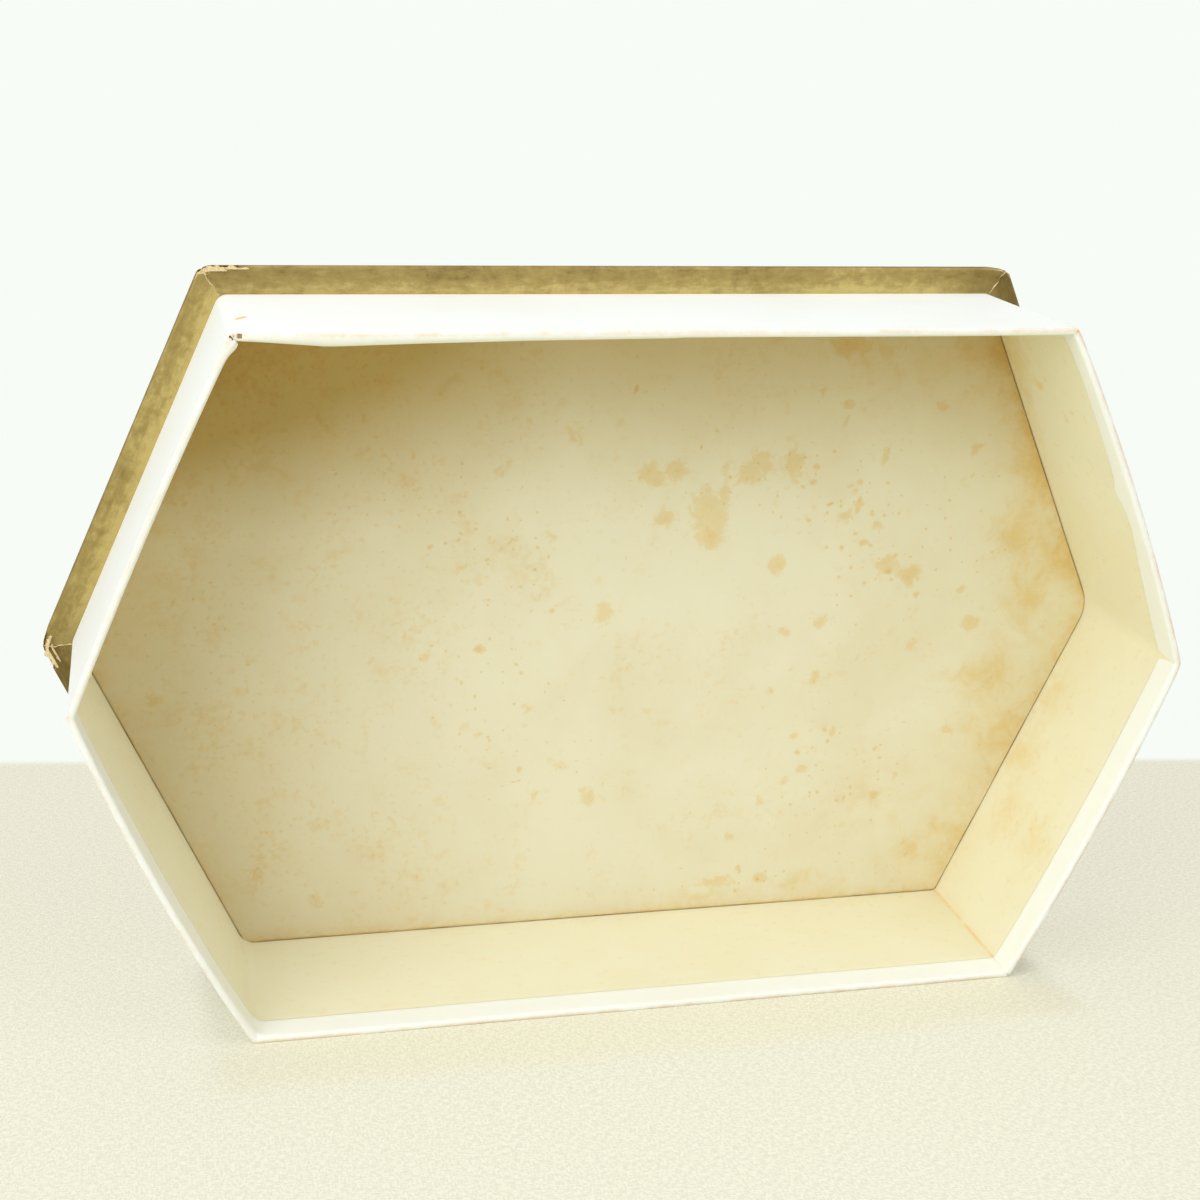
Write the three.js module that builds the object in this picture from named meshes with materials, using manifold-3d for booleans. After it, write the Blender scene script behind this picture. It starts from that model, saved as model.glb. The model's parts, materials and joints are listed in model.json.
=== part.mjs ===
// Open chocolate box tray: an elongated hexagon of paper-covered board on a wider gold plate.
// It is built lying on its plate (Z from the plate to the rim), then stood up on one long side.

import * as THREE from "three";
import { mergeVertices } from "three/addons/utils/BufferGeometryUtils.js";
import Module from "manifold-3d";

const wasm = await Module();
wasm.setup();

// Plan and height of the tray, in millimetres over the covered walls.
const tipWidth = 300;
const sideSpan = 188;
const longSide = 215.5;
const wallHeight = 58;
const wallCornerRadius = 3.5;

// The wider plate under the tray.
const plateOverhang = 7.2;
const plateCornerRadius = 2;

// Board and paper thicknesses.
const wallBoard = 1;
const floorBoard = 1.2;
const plateBoard = 2;
const coverPaper = 0.2;
const plateCoverPaper = 0.2;
const liningPaper = 0.15;
const floorCard = 0.35;
const stayTape = 0.15;

// How far each paper is turned over an edge, and how wide the tapes and the lap are.
const rimTurnIn = 9.2;
const footTurnUnder = 10;
const plateTurnIn = 16;
const stayReach = 12;
const coverLap = 12;

// Named clearances: glue films, fold roundness, slits and joints between pieces.
const glueFilm = 0.08;
const foldEase = 0.3;
const floorFit = 0.2;
const cardGap = 0.6;
const boardJoint = 0.2;
const liningJoint = 0.35;
const rimSlit = 0.45;
const footMitre = 1.2;
const plateMitre = 0.6;

// Levels along Z; zero is the front of the plate, where the tray is stuck down.
const footLow = glueFilm;
const footHigh = footLow + coverPaper;
const boardFoot = footHigh + glueFilm;
const boardTop = wallHeight - coverPaper - glueFilm - foldEase;
const floorTop = boardFoot + floorBoard;
const liningFoot = floorTop + glueFilm;
const cardTop = liningFoot + floorCard;
const plateThickness = plateBoard + 2 * (plateCoverPaper + glueFilm);

// Insets through the wall, measured inwards from the outer face of the cover paper.
const boardOuter = coverPaper + glueFilm;
const boardInner = boardOuter + wallBoard;
const liningOuter = boardInner + glueFilm;
const liningInner = liningOuter + liningPaper;
const turnInOuter = liningInner + glueFilm;
const turnInInner = turnInOuter + coverPaper;

// Corners and sides are named as they lie when the box stands on its lower long side.
const cornerNames = ["right", "top_right", "top_left", "left", "bottom_left", "bottom_right"];
const sideNames = ["upper_right", "top", "upper_left", "lower_left", "bottom", "lower_right"];
const cornerCount = cornerNames.length;
const seamCorner = cornerNames.indexOf("bottom_right");
const lapSide = sideNames.indexOf("lower_right");

// Roundness of the drawn curves.
const arcSteps = 8;
const foldSteps = 2;
const tightRadius = 0.05;

// Sharp corners of the hexagon at an inset from the outer face of the walls.
function sharpCorners(inset) {
  const halfSpan = sideSpan / 2;
  const tip = tipWidth / 2;
  const slant = tip - longSide / 2;
  const slantLength = Math.hypot(halfSpan, slant);
  const tipX = tip - (inset * slantLength) / halfSpan;
  const cornerY = halfSpan - inset;
  const cornerX = tipX - (slant * cornerY) / halfSpan;
  return [
    new THREE.Vector2(tipX, 0),
    new THREE.Vector2(cornerX, cornerY),
    new THREE.Vector2(-cornerX, cornerY),
    new THREE.Vector2(-tipX, 0),
    new THREE.Vector2(-cornerX, -cornerY),
    new THREE.Vector2(cornerX, -cornerY),
  ];
}

// Outward direction of each side, as an angle in the plan.
function sideAngles() {
  const corners = sharpCorners(0);
  return corners.map((from, side) => {
    const along = corners[(side + 1) % cornerCount].clone().sub(from);
    return Math.atan2(-along.x, along.y);
  });
}

// The angle a corner's arc starts at and how far it turns.
function cornerTurn(corner) {
  const angles = sideAngles();
  const start = angles[(corner + cornerCount - 1) % cornerCount];
  const turn = THREE.MathUtils.euclideanModulo(angles[corner] - start, 2 * Math.PI);
  return { start, turn };
}

// Points of one rounded corner at an inset, between two shares of its turn.
function cornerArc(corner, inset, arcCentreInset, fromShare, toShare) {
  const radius = Math.max(arcCentreInset - inset, tightRadius);
  const centre = sharpCorners(inset + radius)[corner];
  const { start, turn } = cornerTurn(corner);
  const steps = Math.max(1, Math.round(arcSteps * (toShare - fromShare)));
  const points = [];
  for (let step = 0; step <= steps; step += 1) {
    const share = fromShare + ((toShare - fromShare) * step) / steps;
    const angle = start + turn * share;
    points.push(new THREE.Vector2(Math.cos(angle), Math.sin(angle)).multiplyScalar(radius).add(centre));
  }
  return points;
}

// The whole rounded outline at an inset.
function outline(inset, arcCentreInset) {
  return cornerNames.flatMap((name, corner) => cornerArc(corner, inset, arcCentreInset, 0, 1));
}

// A plan outline raised between two levels.
function raised(points, low, high) {
  const shape = new THREE.Shape(points);
  const geometry = new THREE.ExtrudeGeometry(shape, { depth: high - low, bevelEnabled: false });
  return geometry.translate(0, 0, low);
}

// A hexagonal sheet of board or paper.
function sheet(inset, arcCentreInset, low, high) {
  return raised(outline(inset, arcCentreInset), low, high);
}

// An upright strip that runs from the middle of one corner to the middle of a later one.
function strip(fromCorner, sides, outerInset, innerInset, jointGap, low, high) {
  const meanRadius = wallCornerRadius - (outerInset + innerInset) / 2;
  const edge = (inset) => {
    const points = [];
    for (let step = 0; step <= sides; step += 1) {
      const corner = (fromCorner + step) % cornerCount;
      const endShare = jointGap / 2 / (meanRadius * cornerTurn(corner).turn);
      const fromShare = step === 0 ? 0.5 + endShare : 0;
      const toShare = step === sides ? 0.5 - endShare : 1;
      points.push(...cornerArc(corner, inset, wallCornerRadius, fromShare, toShare));
    }
    return points;
  };
  return raised([...edge(outerInset), ...edge(innerInset).reverse()], low, high);
}

// A tape bent round one corner, reaching the same length along both sides.
function cornerTape(corner, outerInset, innerInset, reach, low, high) {
  const edge = (inset) => {
    const arc = cornerArc(corner, inset, wallCornerRadius, 0, 1);
    const before = sideDirection((corner + cornerCount - 1) % cornerCount);
    const after = sideDirection(corner);
    const start = arc[0].clone().addScaledVector(before, -reach);
    const end = arc[arc.length - 1].clone().addScaledVector(after, reach);
    return [start, ...arc, end];
  };
  return raised([...edge(outerInset), ...edge(innerInset).reverse()], low, high);
}

// The direction a side runs in, from its first corner to the next.
function sideDirection(side) {
  const corners = sharpCorners(0);
  return corners[(side + 1) % cornerCount].clone().sub(corners[side]).normalize();
}

// A closed profile of insets and levels carried round the rounded hexagon.
function band(profile, arcCentreInset) {
  const section = profile.getPoints(foldSteps);
  if (section[0].distanceTo(section[section.length - 1]) < tightRadius / 10) section.pop();
  if (!THREE.ShapeUtils.isClockWise(section)) section.reverse();
  const rings = section.map((point) => outline(point.x, arcCentreInset));
  const perRing = rings[0].length;
  const positions = rings.flatMap((ring, level) => ring.flatMap((p) => [p.x, p.y, section[level].y]));
  const index = [];
  for (let level = 0; level < rings.length; level += 1) {
    const next = (level + 1) % rings.length;
    for (let step = 0; step < perRing; step += 1) {
      const ahead = (step + 1) % perRing;
      const here = level * perRing + step;
      const hereAhead = level * perRing + ahead;
      const above = next * perRing + step;
      const aboveAhead = next * perRing + ahead;
      index.push(here, hereAhead, aboveAhead, here, aboveAhead, above);
    }
  }
  const geometry = new THREE.BufferGeometry();
  geometry.setAttribute("position", new THREE.Float32BufferAttribute(positions, 3));
  geometry.setIndex(index);
  return geometry;
}

// A cut along the line that halves a corner, from one inset to a deeper one.
function cornerCut(corner, fromInset, toInset, width, low, high) {
  const from = sharpCorners(fromInset)[corner];
  const to = sharpCorners(toInset)[corner];
  const run = to.clone().sub(from);
  const box = new THREE.BoxGeometry(run.length(), width, high - low);
  box.rotateZ(Math.atan2(run.y, run.x));
  return box.translate((from.x + to.x) / 2, (from.y + to.y) / 2, (low + high) / 2);
}

// A geometry as a solid for joining and cutting.
function solid(geometry) {
  const bare = geometry.clone();
  bare.deleteAttribute("normal");
  bare.deleteAttribute("uv");
  const merged = mergeVertices(bare, 1e-4);
  const mesh = new wasm.Mesh({
    numProp: 3,
    vertProperties: new Float32Array(merged.attributes.position.array),
    triVerts: new Uint32Array(merged.index.array),
  });
  return new wasm.Manifold(mesh);
}

// A solid back as a geometry.
function geometryOf(body) {
  const mesh = body.getMesh();
  const geometry = new THREE.BufferGeometry();
  geometry.setAttribute("position", new THREE.BufferAttribute(new Float32Array(mesh.vertProperties), 3));
  geometry.setIndex(new THREE.BufferAttribute(new Uint32Array(mesh.triVerts), 1));
  const flat = geometry.toNonIndexed();
  flat.computeVertexNormals();
  return flat;
}

// Each paper and board has its own colour and sheen.
const finishes = {
  greyboard: { color: 0xa58a63, roughness: 0.95, metalness: 0 },
  tape: { color: 0xc9ad7b, roughness: 0.9, metalness: 0 },
  whitePaper: { color: 0xf6f4ea, roughness: 0.55, metalness: 0 },
  creamPaper: { color: 0xe9dfb8, roughness: 0.7, metalness: 0 },
  agedCard: { color: 0xd9c692, roughness: 0.85, metalness: 0 },
  goldPaper: { color: 0xa8925a, roughness: 0.4, metalness: 0.75 },
};

const tray = new THREE.Group();
tray.name = "box";

function addPiece(name, geometry, finish) {
  const mesh = new THREE.Mesh(geometry, new THREE.MeshStandardMaterial(finishes[finish]));
  mesh.name = name;
  tray.add(mesh);
}

// The plate's board, with the gold sheet round its back and edges and turned on to its front.
const plateEdge = -plateOverhang;
const plateArc = plateEdge + plateCornerRadius;
const plateFold = plateCoverPaper + foldEase;
const plateInset = plateEdge + plateCoverPaper + glueFilm + foldEase;
const plateBack = -plateThickness;
const plateBoardFront = -(plateCoverPaper + glueFilm);

addPiece(
  "base_board",
  sheet(plateInset, plateArc, plateBoardFront - plateBoard, plateBoardFront),
  "greyboard",
);

function plateCoverSection() {
  const flapEnd = plateEdge + plateTurnIn;
  const foldCentre = plateEdge + plateFold;
  const section = new THREE.Shape();
  section.moveTo(flapEnd, plateBack);
  section.lineTo(foldCentre, plateBack);
  section.absarc(foldCentre, plateBack + plateFold, plateFold, -Math.PI / 2, -Math.PI, true);
  section.lineTo(plateEdge, -plateFold);
  section.absarc(foldCentre, -plateFold, plateFold, Math.PI, Math.PI / 2, true);
  section.lineTo(flapEnd, 0);
  section.lineTo(flapEnd, -plateCoverPaper);
  section.lineTo(foldCentre, -plateCoverPaper);
  section.absarc(foldCentre, -plateFold, foldEase, Math.PI / 2, Math.PI, false);
  section.lineTo(plateEdge + plateCoverPaper, plateBack + plateFold);
  section.absarc(foldCentre, plateBack + plateFold, foldEase, Math.PI, 1.5 * Math.PI, false);
  section.lineTo(flapEnd, plateBack + plateCoverPaper);
  section.closePath();
  return section;
}

function plateCover() {
  const flapEnd = plateEdge + plateTurnIn;
  const backSheet = sheet(plateEdge + plateTurnIn / 2, plateArc, plateBack, plateBack + plateCoverPaper);
  let cover = solid(band(plateCoverSection(), plateArc)).add(solid(backSheet));
  cornerNames.forEach((name, corner) => {
    const mitre = cornerCut(
      corner,
      plateEdge + plateFold,
      flapEnd + plateTurnIn,
      plateMitre,
      -plateCoverPaper - glueFilm,
      1,
    );
    cover = cover.subtract(solid(mitre));
  });
  return geometryOf(cover);
}

addPiece("base_cover_paper", plateCover(), "goldPaper");

// The tray's floor board, held by the cover paper turned under the foot of the walls.
addPiece(
  "floor_board",
  sheet(boardInner + floorFit, wallCornerRadius, boardFoot, floorTop),
  "greyboard",
);

// Six wall boards butted at the corners, each corner held by a tape pressed into the board.
const stayInner = boardOuter + stayTape;

sideNames.forEach((name, side) => {
  const board = strip(side, 1, boardOuter, boardInner, boardJoint, boardFoot, boardTop);
  let body = solid(board);
  [side, (side + 1) % cornerCount].forEach((corner) => {
    const seat = cornerTape(
      corner,
      boardOuter - wallBoard / 2,
      stayInner + glueFilm,
      stayReach + glueFilm,
      boardFoot - 1,
      boardTop + 1,
    );
    body = body.subtract(solid(seat));
  });
  addPiece(`wall_board_${name}`, geometryOf(body), "greyboard");
});

cornerNames.forEach((name, corner) => {
  const tape = cornerTape(corner, boardOuter, stayInner, stayReach, boardFoot, boardTop);
  addPiece(`corner_stay_${name}`, tape, "tape");
});

// The cream paper inside the walls, one strip whose ends meet in a lower corner.
addPiece(
  "wall_lining_paper",
  strip(seamCorner, cornerCount, liningOuter, liningInner, liningJoint, liningFoot, boardTop),
  "creamPaper",
);

// The card on the floor, cut a little short of the walls all round.
addPiece(
  "floor_card",
  sheet(liningInner + cardGap, wallCornerRadius, liningFoot, cardTop),
  "agedCard",
);

// The white cover: up the outside, over the rim, down the inside, and under the foot.
function wallCoverSection() {
  const fold = coverPaper + foldEase;
  const section = new THREE.Shape();
  section.moveTo(footTurnUnder, footLow);
  section.lineTo(fold, footLow);
  section.absarc(fold, footLow + fold, fold, -Math.PI / 2, -Math.PI, true);
  section.lineTo(0, wallHeight - fold);
  section.absarc(fold, wallHeight - fold, fold, Math.PI, Math.PI / 2, true);
  section.lineTo(turnInInner - fold, wallHeight);
  section.absarc(turnInInner - fold, wallHeight - fold, fold, Math.PI / 2, 0, true);
  section.lineTo(turnInInner, wallHeight - rimTurnIn);
  section.lineTo(turnInOuter, wallHeight - rimTurnIn);
  section.lineTo(turnInOuter, wallHeight - fold);
  section.absarc(turnInInner - fold, wallHeight - fold, foldEase, 0, Math.PI / 2, false);
  section.lineTo(fold, wallHeight - coverPaper);
  section.absarc(fold, wallHeight - fold, foldEase, Math.PI / 2, Math.PI, false);
  section.lineTo(coverPaper, footHigh);
  section.lineTo(footTurnUnder, footHigh);
  section.closePath();
  return section;
}

// The end of the strip that laps over its beginning, on the outside of one side.
function coverLapPad() {
  const outer = cornerArc(lapSide, -coverPaper, wallCornerRadius, 0.5, 1);
  const inner = cornerArc(lapSide, coverPaper / 2, wallCornerRadius, 0.5, 1);
  const along = sideDirection(lapSide).multiplyScalar(coverLap);
  outer.push(outer[outer.length - 1].clone().add(along));
  inner.push(inner[inner.length - 1].clone().add(along));
  const fold = coverPaper + foldEase;
  return raised([...outer, ...inner.reverse()], footLow + fold, wallHeight - fold);
}

function wallCover() {
  let cover = solid(band(wallCoverSection(), wallCornerRadius));
  cornerNames.forEach((name, corner) => {
    const slit = cornerCut(
      corner,
      boardInner,
      turnInInner + rimTurnIn,
      rimSlit,
      wallHeight - rimTurnIn - 1,
      wallHeight + 1,
    );
    const mitre = cornerCut(
      corner,
      boardInner,
      footTurnUnder + 1,
      footMitre,
      footLow - 1,
      footHigh + glueFilm / 2,
    );
    cover = cover.subtract(solid(slit)).subtract(solid(mitre));
  });
  return geometryOf(cover.add(solid(coverLapPad())));
}

addPiece("wall_cover_paper", wallCover(), "whitePaper");

// The box stands on its lower long side: it tips forward until the rim meets the table.
const lean = Math.atan2(plateOverhang, wallHeight);
tray.rotation.x = Math.PI / 2 + lean;
const reach = new THREE.Box3().setFromObject(tray, true);
const middle = reach.getCenter(new THREE.Vector3());
tray.position.set(-middle.x, -middle.y, -reach.min.z);

const part = new THREE.Group();
part.name = "chocolate_box";
part.add(tray);

export default part;
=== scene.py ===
"""Open chocolate box tray: six paper-covered walls on a wider gold plate, dressed for looks.

Run as a script in Blender 4.5. Lengths are in metres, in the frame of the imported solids. The papers are laid
out in the tray's own axes, with x along the long sides, y across them and z from the plate to the rim.
"""

import json
import math
from typing import NamedTuple

import bmesh
import bpy
from bpy.props import FloatProperty, FloatVectorProperty, PointerProperty
from mathutils import Matrix, Vector, noise


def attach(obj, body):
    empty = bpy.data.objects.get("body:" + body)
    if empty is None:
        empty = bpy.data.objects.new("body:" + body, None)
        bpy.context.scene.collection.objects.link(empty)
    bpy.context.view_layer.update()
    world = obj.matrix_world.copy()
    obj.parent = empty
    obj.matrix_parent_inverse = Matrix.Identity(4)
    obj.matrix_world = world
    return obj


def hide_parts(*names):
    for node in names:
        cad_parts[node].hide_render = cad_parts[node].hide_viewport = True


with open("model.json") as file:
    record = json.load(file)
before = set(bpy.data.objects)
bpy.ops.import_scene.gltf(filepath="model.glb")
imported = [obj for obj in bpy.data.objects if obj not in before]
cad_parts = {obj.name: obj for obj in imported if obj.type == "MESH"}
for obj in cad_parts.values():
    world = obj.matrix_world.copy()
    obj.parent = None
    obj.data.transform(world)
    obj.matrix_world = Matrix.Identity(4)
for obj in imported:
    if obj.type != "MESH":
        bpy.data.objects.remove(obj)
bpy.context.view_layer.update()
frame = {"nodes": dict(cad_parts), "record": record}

bl_info = {
    "name": "Chocolate box tray",
    "version": (1, 0, 0),
    "blender": (4, 5, 0),
    "location": "View3D > Sidebar > Chocolate box",
    "description": "Dresses the solids of an open chocolate box tray with worn papers and a studio stage",
    "category": "Object",
}

MM = 0.001

# Corners run anticlockwise seen from the opening, and each side runs from the corner at its own place to
# the next one.
CORNERS = ("right", "top_right", "top_left", "left", "bottom_left", "bottom_right")
SIDES = ("upper_right", "top", "upper_left", "lower_left", "bottom", "lower_right")

BOARD_NODES = ("floor_board", "wall_board_top", "wall_board_bottom")
STAY_NODES = tuple(f"corner_stay_{corner}" for corner in CORNERS)

# Points closer than the first are joined, edges shorter than the second are dissolved, and folds past the
# angle stay sharp.
MERGE_DISTANCE = 0.002 * MM
SHORTEST_EDGE = 0.001 * MM
SHARP_ANGLE = math.radians(55)
# How much longer each step along a side is than the one before it, going away from a corner.
STEP_GROWTH = 1.28
# Steps of each sheet along a side, at its ends and in its middle, and how many steps go round a corner.
COVER_STEPS = (0.28 * MM, 1.7 * MM, 12)
LINING_STEPS = (0.4 * MM, 1.2 * MM, 10)
PLATE_COVER_STEPS = (0.3 * MM, 3.5 * MM, 10)
PLATE_BOARD_STEPS = (0.5 * MM, 6 * MM, 6)
WALL_BOARD_STEPS = (1 * MM, 5 * MM, 6)


def length(name, description, millimetres):
    """A length of the box that a user may change."""
    return FloatProperty(
        name=name, description=description, default=millimetres * MM, min=0.0, precision=5, unit="LENGTH"
    )


def linear(shade):
    """A colour value of 0 to 255, as seen on a screen, turned into the light it stands for."""
    part = shade / 255
    if part <= 0.04045:
        return part / 12.92
    return ((part + 0.055) / 1.055) ** 2.4


def colour(name, description, red, green, blue):
    """A finish colour that a user may change, written as it looks on a screen."""
    shades = [linear(shade) for shade in (red, green, blue)]
    return FloatVectorProperty(
        name=name, description=description, default=shades, size=3, min=0.0, max=1.0, subtype="COLOR"
    )


def power(name, description, watts):
    """A lamp's power that a user may change."""
    return FloatProperty(name=name, description=description, default=watts, min=0.0, unit="POWER")


class TraySizes(bpy.types.PropertyGroup):
    """Lengths of the tray and its papers, as in the solids."""

    tip_width: length("Tip width", "From the left tip to the right tip, over the cover paper", 300)
    side_span: length("Side span", "Between the two long sides, over the cover paper", 188)
    long_side: length("Long side", "Length of a long side between its sharp corners", 215.5)
    wall_height: length("Wall height", "From the front of the plate to the rim", 58)
    wall_thickness: length("Wall thickness", "Through cover, board, lining and turn-in", 1.79)
    corner_radius: length("Corner radius", "Rounding of the cover paper at the wall corners", 3.5)
    rim_fold: length("Rim fold", "Rounding of the cover paper where it goes over the rim", 0.55)
    turn_in: length("Turn-in", "How far the cover paper comes down inside the walls", 9.2)
    foot_under: length("Foot turn-under", "How far the cover paper runs under the tray", 10)
    foot_gap: length("Foot gap", "Glue between the cover paper and the plate", 0.08)
    lining_inset: length("Lining inset", "Depth of the lining's inner face in the wall", 1.51)
    lining_foot: length("Lining foot", "Height of the lining's lower edge", 1.64)
    paper: length("Paper", "Thickness of the white and gold papers", 0.2)
    lining_paper: length("Lining paper", "Thickness of the lining", 0.15)
    card: length("Floor card", "Thickness of the card on the floor", 0.35)
    card_top: length("Card top", "Height of the card's upper face", 1.99)
    card_inset: length("Card inset", "From the cover paper's outer face to the card's edge", 2.11)
    plate_overhang: length("Plate overhang", "How far the plate stands out past the walls", 7.2)
    plate_radius: length("Plate corner radius", "Rounding of the plate's corners", 2.0)
    plate_thickness: length("Plate thickness", "Plate board with its gold paper on both faces", 2.56)
    plate_fold: length("Plate fold", "Rounding of the gold paper along the plate's edge", 0.6)
    plate_turn_in: length("Plate turn-in", "How far the gold paper comes back over the plate's front", 16)


class TrayColours(bpy.types.PropertyGroup):
    """Colours of the papers, boards and wear."""

    white: colour("White paper", "Cover paper on the walls", 250, 253, 249)
    white_aged: colour("Aged white", "Cover paper where it has yellowed", 248, 250, 243)
    # Colour of the painted shade on the inner half of the rim.
    worn: colour("Worn edge", "Bare fibre along rubbed edges", 240, 216, 186)
    grime: colour("Grime", "Tint of handled paper on the rim", 238, 233, 211)
    scuff: colour("Scuff", "Tint of brown rubbing on the white paper", 246, 206, 128)
    nick: colour("Nick", "Dark dirt in nicks and torn edges", 146, 104, 58)
    # Colour of the painted shadow under lifted paper.
    gap: colour("Gap", "Dark gap under lifted paper", 74, 54, 30)
    cream: colour("Cream paper", "Lining of the walls", 242, 238, 211)
    cream_aged: colour("Aged cream", "Lining where it has yellowed", 238, 229, 188)
    card: colour("Floor card", "Face of the floor card", 240, 236, 210)
    card_aged: colour("Aged card", "Yellowed parts of the floor card", 224, 209, 165)
    # Colour of the card's tan and of the painted shade under the top and left walls.
    card_tan_and_shade: colour("Tanned card", "Darkest tan of the floor card", 190, 165, 103)
    stain: colour("Stain", "Tint that age stains give the paper", 249, 230, 186)
    stain_deep: colour("Deep stain", "Tint in the middle of the strongest stains", 245, 216, 160)
    gold: colour("Gold paper", "Metal paper where it is still bright", 202, 182, 118)
    gold_dull: colour("Dull gold", "Metal paper that has tarnished", 168, 147, 89)
    gold_dark: colour("Dark gold", "Darkest tarnish", 128, 107, 64)
    # Tint of the painted dark reflection on some gold flaps and the plate's edge, and of the tarnish on its
    # back.
    tarnish_and_reflection: colour("Tarnish", "Tint of the flaps that have tarnished all over", 188, 182, 176)
    board: colour("Strawboard", "Pressed board in the walls and the plate", 222, 188, 130)
    board_dark: colour("Dark fleck", "Dark fibres in the board", 184, 146, 92)
    stay: colour("Corner tape", "Tape at the wall corners", 206, 172, 122)


class StageLook(bpy.types.PropertyGroup):
    """Floor, light and camera of the studio."""

    floor: colour("Floor", "Pale floor under the tray", 249, 247, 226)
    backdrop: colour("Backdrop", "Background behind the tray", 248, 252, 246)
    floor_lift: FloatProperty(
        name="Floor lift", description="How much of its own colour the floor shows even in shadow",
        default=0.72, min=0.0, max=1.0, subtype="FACTOR"
    )
    key_power: power("Key power", "Power of the large lamp on the left", 9.8)
    front_power: power("Front power", "Power of the high front lamp", 0.8)
    fill_power: power("Fill power", "Power of the lamp on the right", 5.0)
    overhead_power: power("Overhead power", "Power of the lamp straight above", 4.8)
    ambient: FloatProperty(
        name="Ambient", description="Even light from all around", default=0.15, min=0.0, subtype="FACTOR"
    )
    floor_reach: length("Floor reach", "From the tray to where the floor meets the backdrop", 246.6)
    lens: FloatProperty(name="Lens", description="Focal length in millimetres", default=60.163, min=1.0)


class Station(NamedTuple):
    """One place round the plan, on the round of a corner or on a straight side."""

    corner: int
    side: int
    along: float
    out: Vector
    nearest: int
    away: float
    run: float


class Row(NamedTuple):
    """One line of a sheet, across the way round the plan."""

    inset: float
    height: float
    across: float
    loose: float = 0.0


def next_corner(corner):
    """The corner, or the side, that comes after one on the way round."""
    return (corner + 1) % len(CORNERS)


def sharp_corners(sizes, inset):
    """The six corners of the plan moved inwards by the inset, as if none were rounded."""
    half_span = sizes.side_span / 2
    slope = (sizes.tip_width - sizes.long_side) / sizes.side_span
    tip = sizes.tip_width / 2 - inset * math.hypot(1, slope)
    span = half_span - inset
    flat = tip - slope * span
    places = ((tip, 0), (flat, span), (-flat, span), (-tip, 0), (-flat, -span), (flat, -span))
    return [Vector(place) for place in places]


def side_outwards(sizes):
    """The outward direction of each side."""
    corners = sharp_corners(sizes, 0.0)
    outwards = []
    for start, end in zip(corners, corners[1:] + corners[:1]):
        step = (end - start).normalized()
        outwards.append(Vector((step.y, -step.x)))
    return outwards


def spread(reach, fine, coarse):
    """Distances along a straight side: fine near both ends and coarser in the middle."""
    steps = [fine]
    step = fine
    while steps[-1] < reach / 2:
        step = min(step * STEP_GROWTH, coarse)
        steps.append(steps[-1] + step)
    scale = reach / 2 / steps[-1]
    first_half = [place * scale for place in steps]
    return first_half + [reach - place for place in reversed(first_half[:-1])]


def walk_round(sizes, radius, centre_inset, fine, coarse, arc_steps):
    """All stations once round the plan, starting at the right tip."""
    corners = sharp_corners(sizes, centre_inset)
    outwards = side_outwards(sizes)
    stations = []
    run = 0.0
    for corner in range(len(CORNERS)):
        before = outwards[corner - 1]
        turn = before.angle_signed(outwards[corner])
        half_arc = abs(turn) * radius / 2
        for step in range(arc_steps + 1):
            share = step / arc_steps
            out = before.copy()
            out.rotate(Matrix.Rotation(abs(turn) * share, 2))
            side = corner if share > 0.5 else (corner - 1) % len(SIDES)
            away = (2 * share - 1) * half_arc
            stations.append(Station(corner, side, 0.0, out, corner, away, run + half_arc + away))
        run += 2 * half_arc
        following = next_corner(corner)
        reach = (corners[following] - corners[corner]).length
        for place in spread(reach, fine, coarse)[:-1]:
            if place < reach / 2:
                nearest, away = corner, half_arc + place
            else:
                nearest, away = following, -(half_arc + reach - place)
            stations.append(Station(-1, corner, place / reach, outwards[corner], nearest, away, run + place))
        run += reach
    return stations


def edge_point(sizes, station, inset, centre_inset):
    """The point of the plan at a station, at an inset from the cover paper's outer face."""
    radius = max(centre_inset - inset, 0.0)
    corners = sharp_corners(sizes, inset + radius)
    if station.corner >= 0:
        base = corners[station.corner]
    else:
        base = corners[station.side].lerp(corners[next_corner(station.side)], station.along)
    return base + station.out * radius


def ripple(run, seed, wave):
    """A smooth value from -1 to 1 that wanders along the way round the plan."""
    return noise.noise(Vector((run / wave, seed, 0.37)))


def eased(value, low, high):
    """A smooth step from 0 at low to 1 at high."""
    share = min(max((value - low) / (high - low), 0.0), 1.0)
    return share * share * (3 - 2 * share)


def bell(offset, width):
    """A smooth hump: 1 at no offset, falling away over a width on both sides."""
    return math.exp(-(offset / width) ** 2)


def along_points(points, place):
    """The value at a place on a line of given points."""
    for (start, low), (end, high) in zip(points, points[1:]):
        if place <= end:
            share = max(place - start, 0.0) / (end - start)
            return low + (high - low) * share
    return points[-1][1]


# How far each wall's rim has bowed outwards in its middle; the floor keeps the bottom wall flat.
WALL_BOW = {"upper_right": 2.0 * MM, "upper_left": 1.1 * MM, "lower_left": 2.3 * MM, "lower_right": 2.1 * MM}


def wall_bow(sizes, station, height):
    """How far a wall stands out of its plane at a place, held straight at its foot and its corners."""
    bow = WALL_BOW.get(SIDES[station.side], 0.0)
    if station.corner >= 0:
        return 0.0
    up = min(max(height / sizes.wall_height, 0.0), 1.0)
    return bow * math.sin(math.pi * station.along) ** 0.75 * up ** 1.5


def tray_matrix(sizes):
    """From the tray's own axes to the frame, read from the mount on the plate's back."""
    mount = frame["record"]["mounts"][0]
    down = Vector(mount["axis"]).normalized()
    rise = -down
    right = Vector((1, 0, 0))
    upward = rise.cross(right).normalized()
    origin = Vector(mount["pos_m"]) + rise * sizes.plate_thickness
    turn = Matrix((right, upward, rise)).transposed().to_4x4()
    return Matrix.Translation(origin) @ turn


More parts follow.
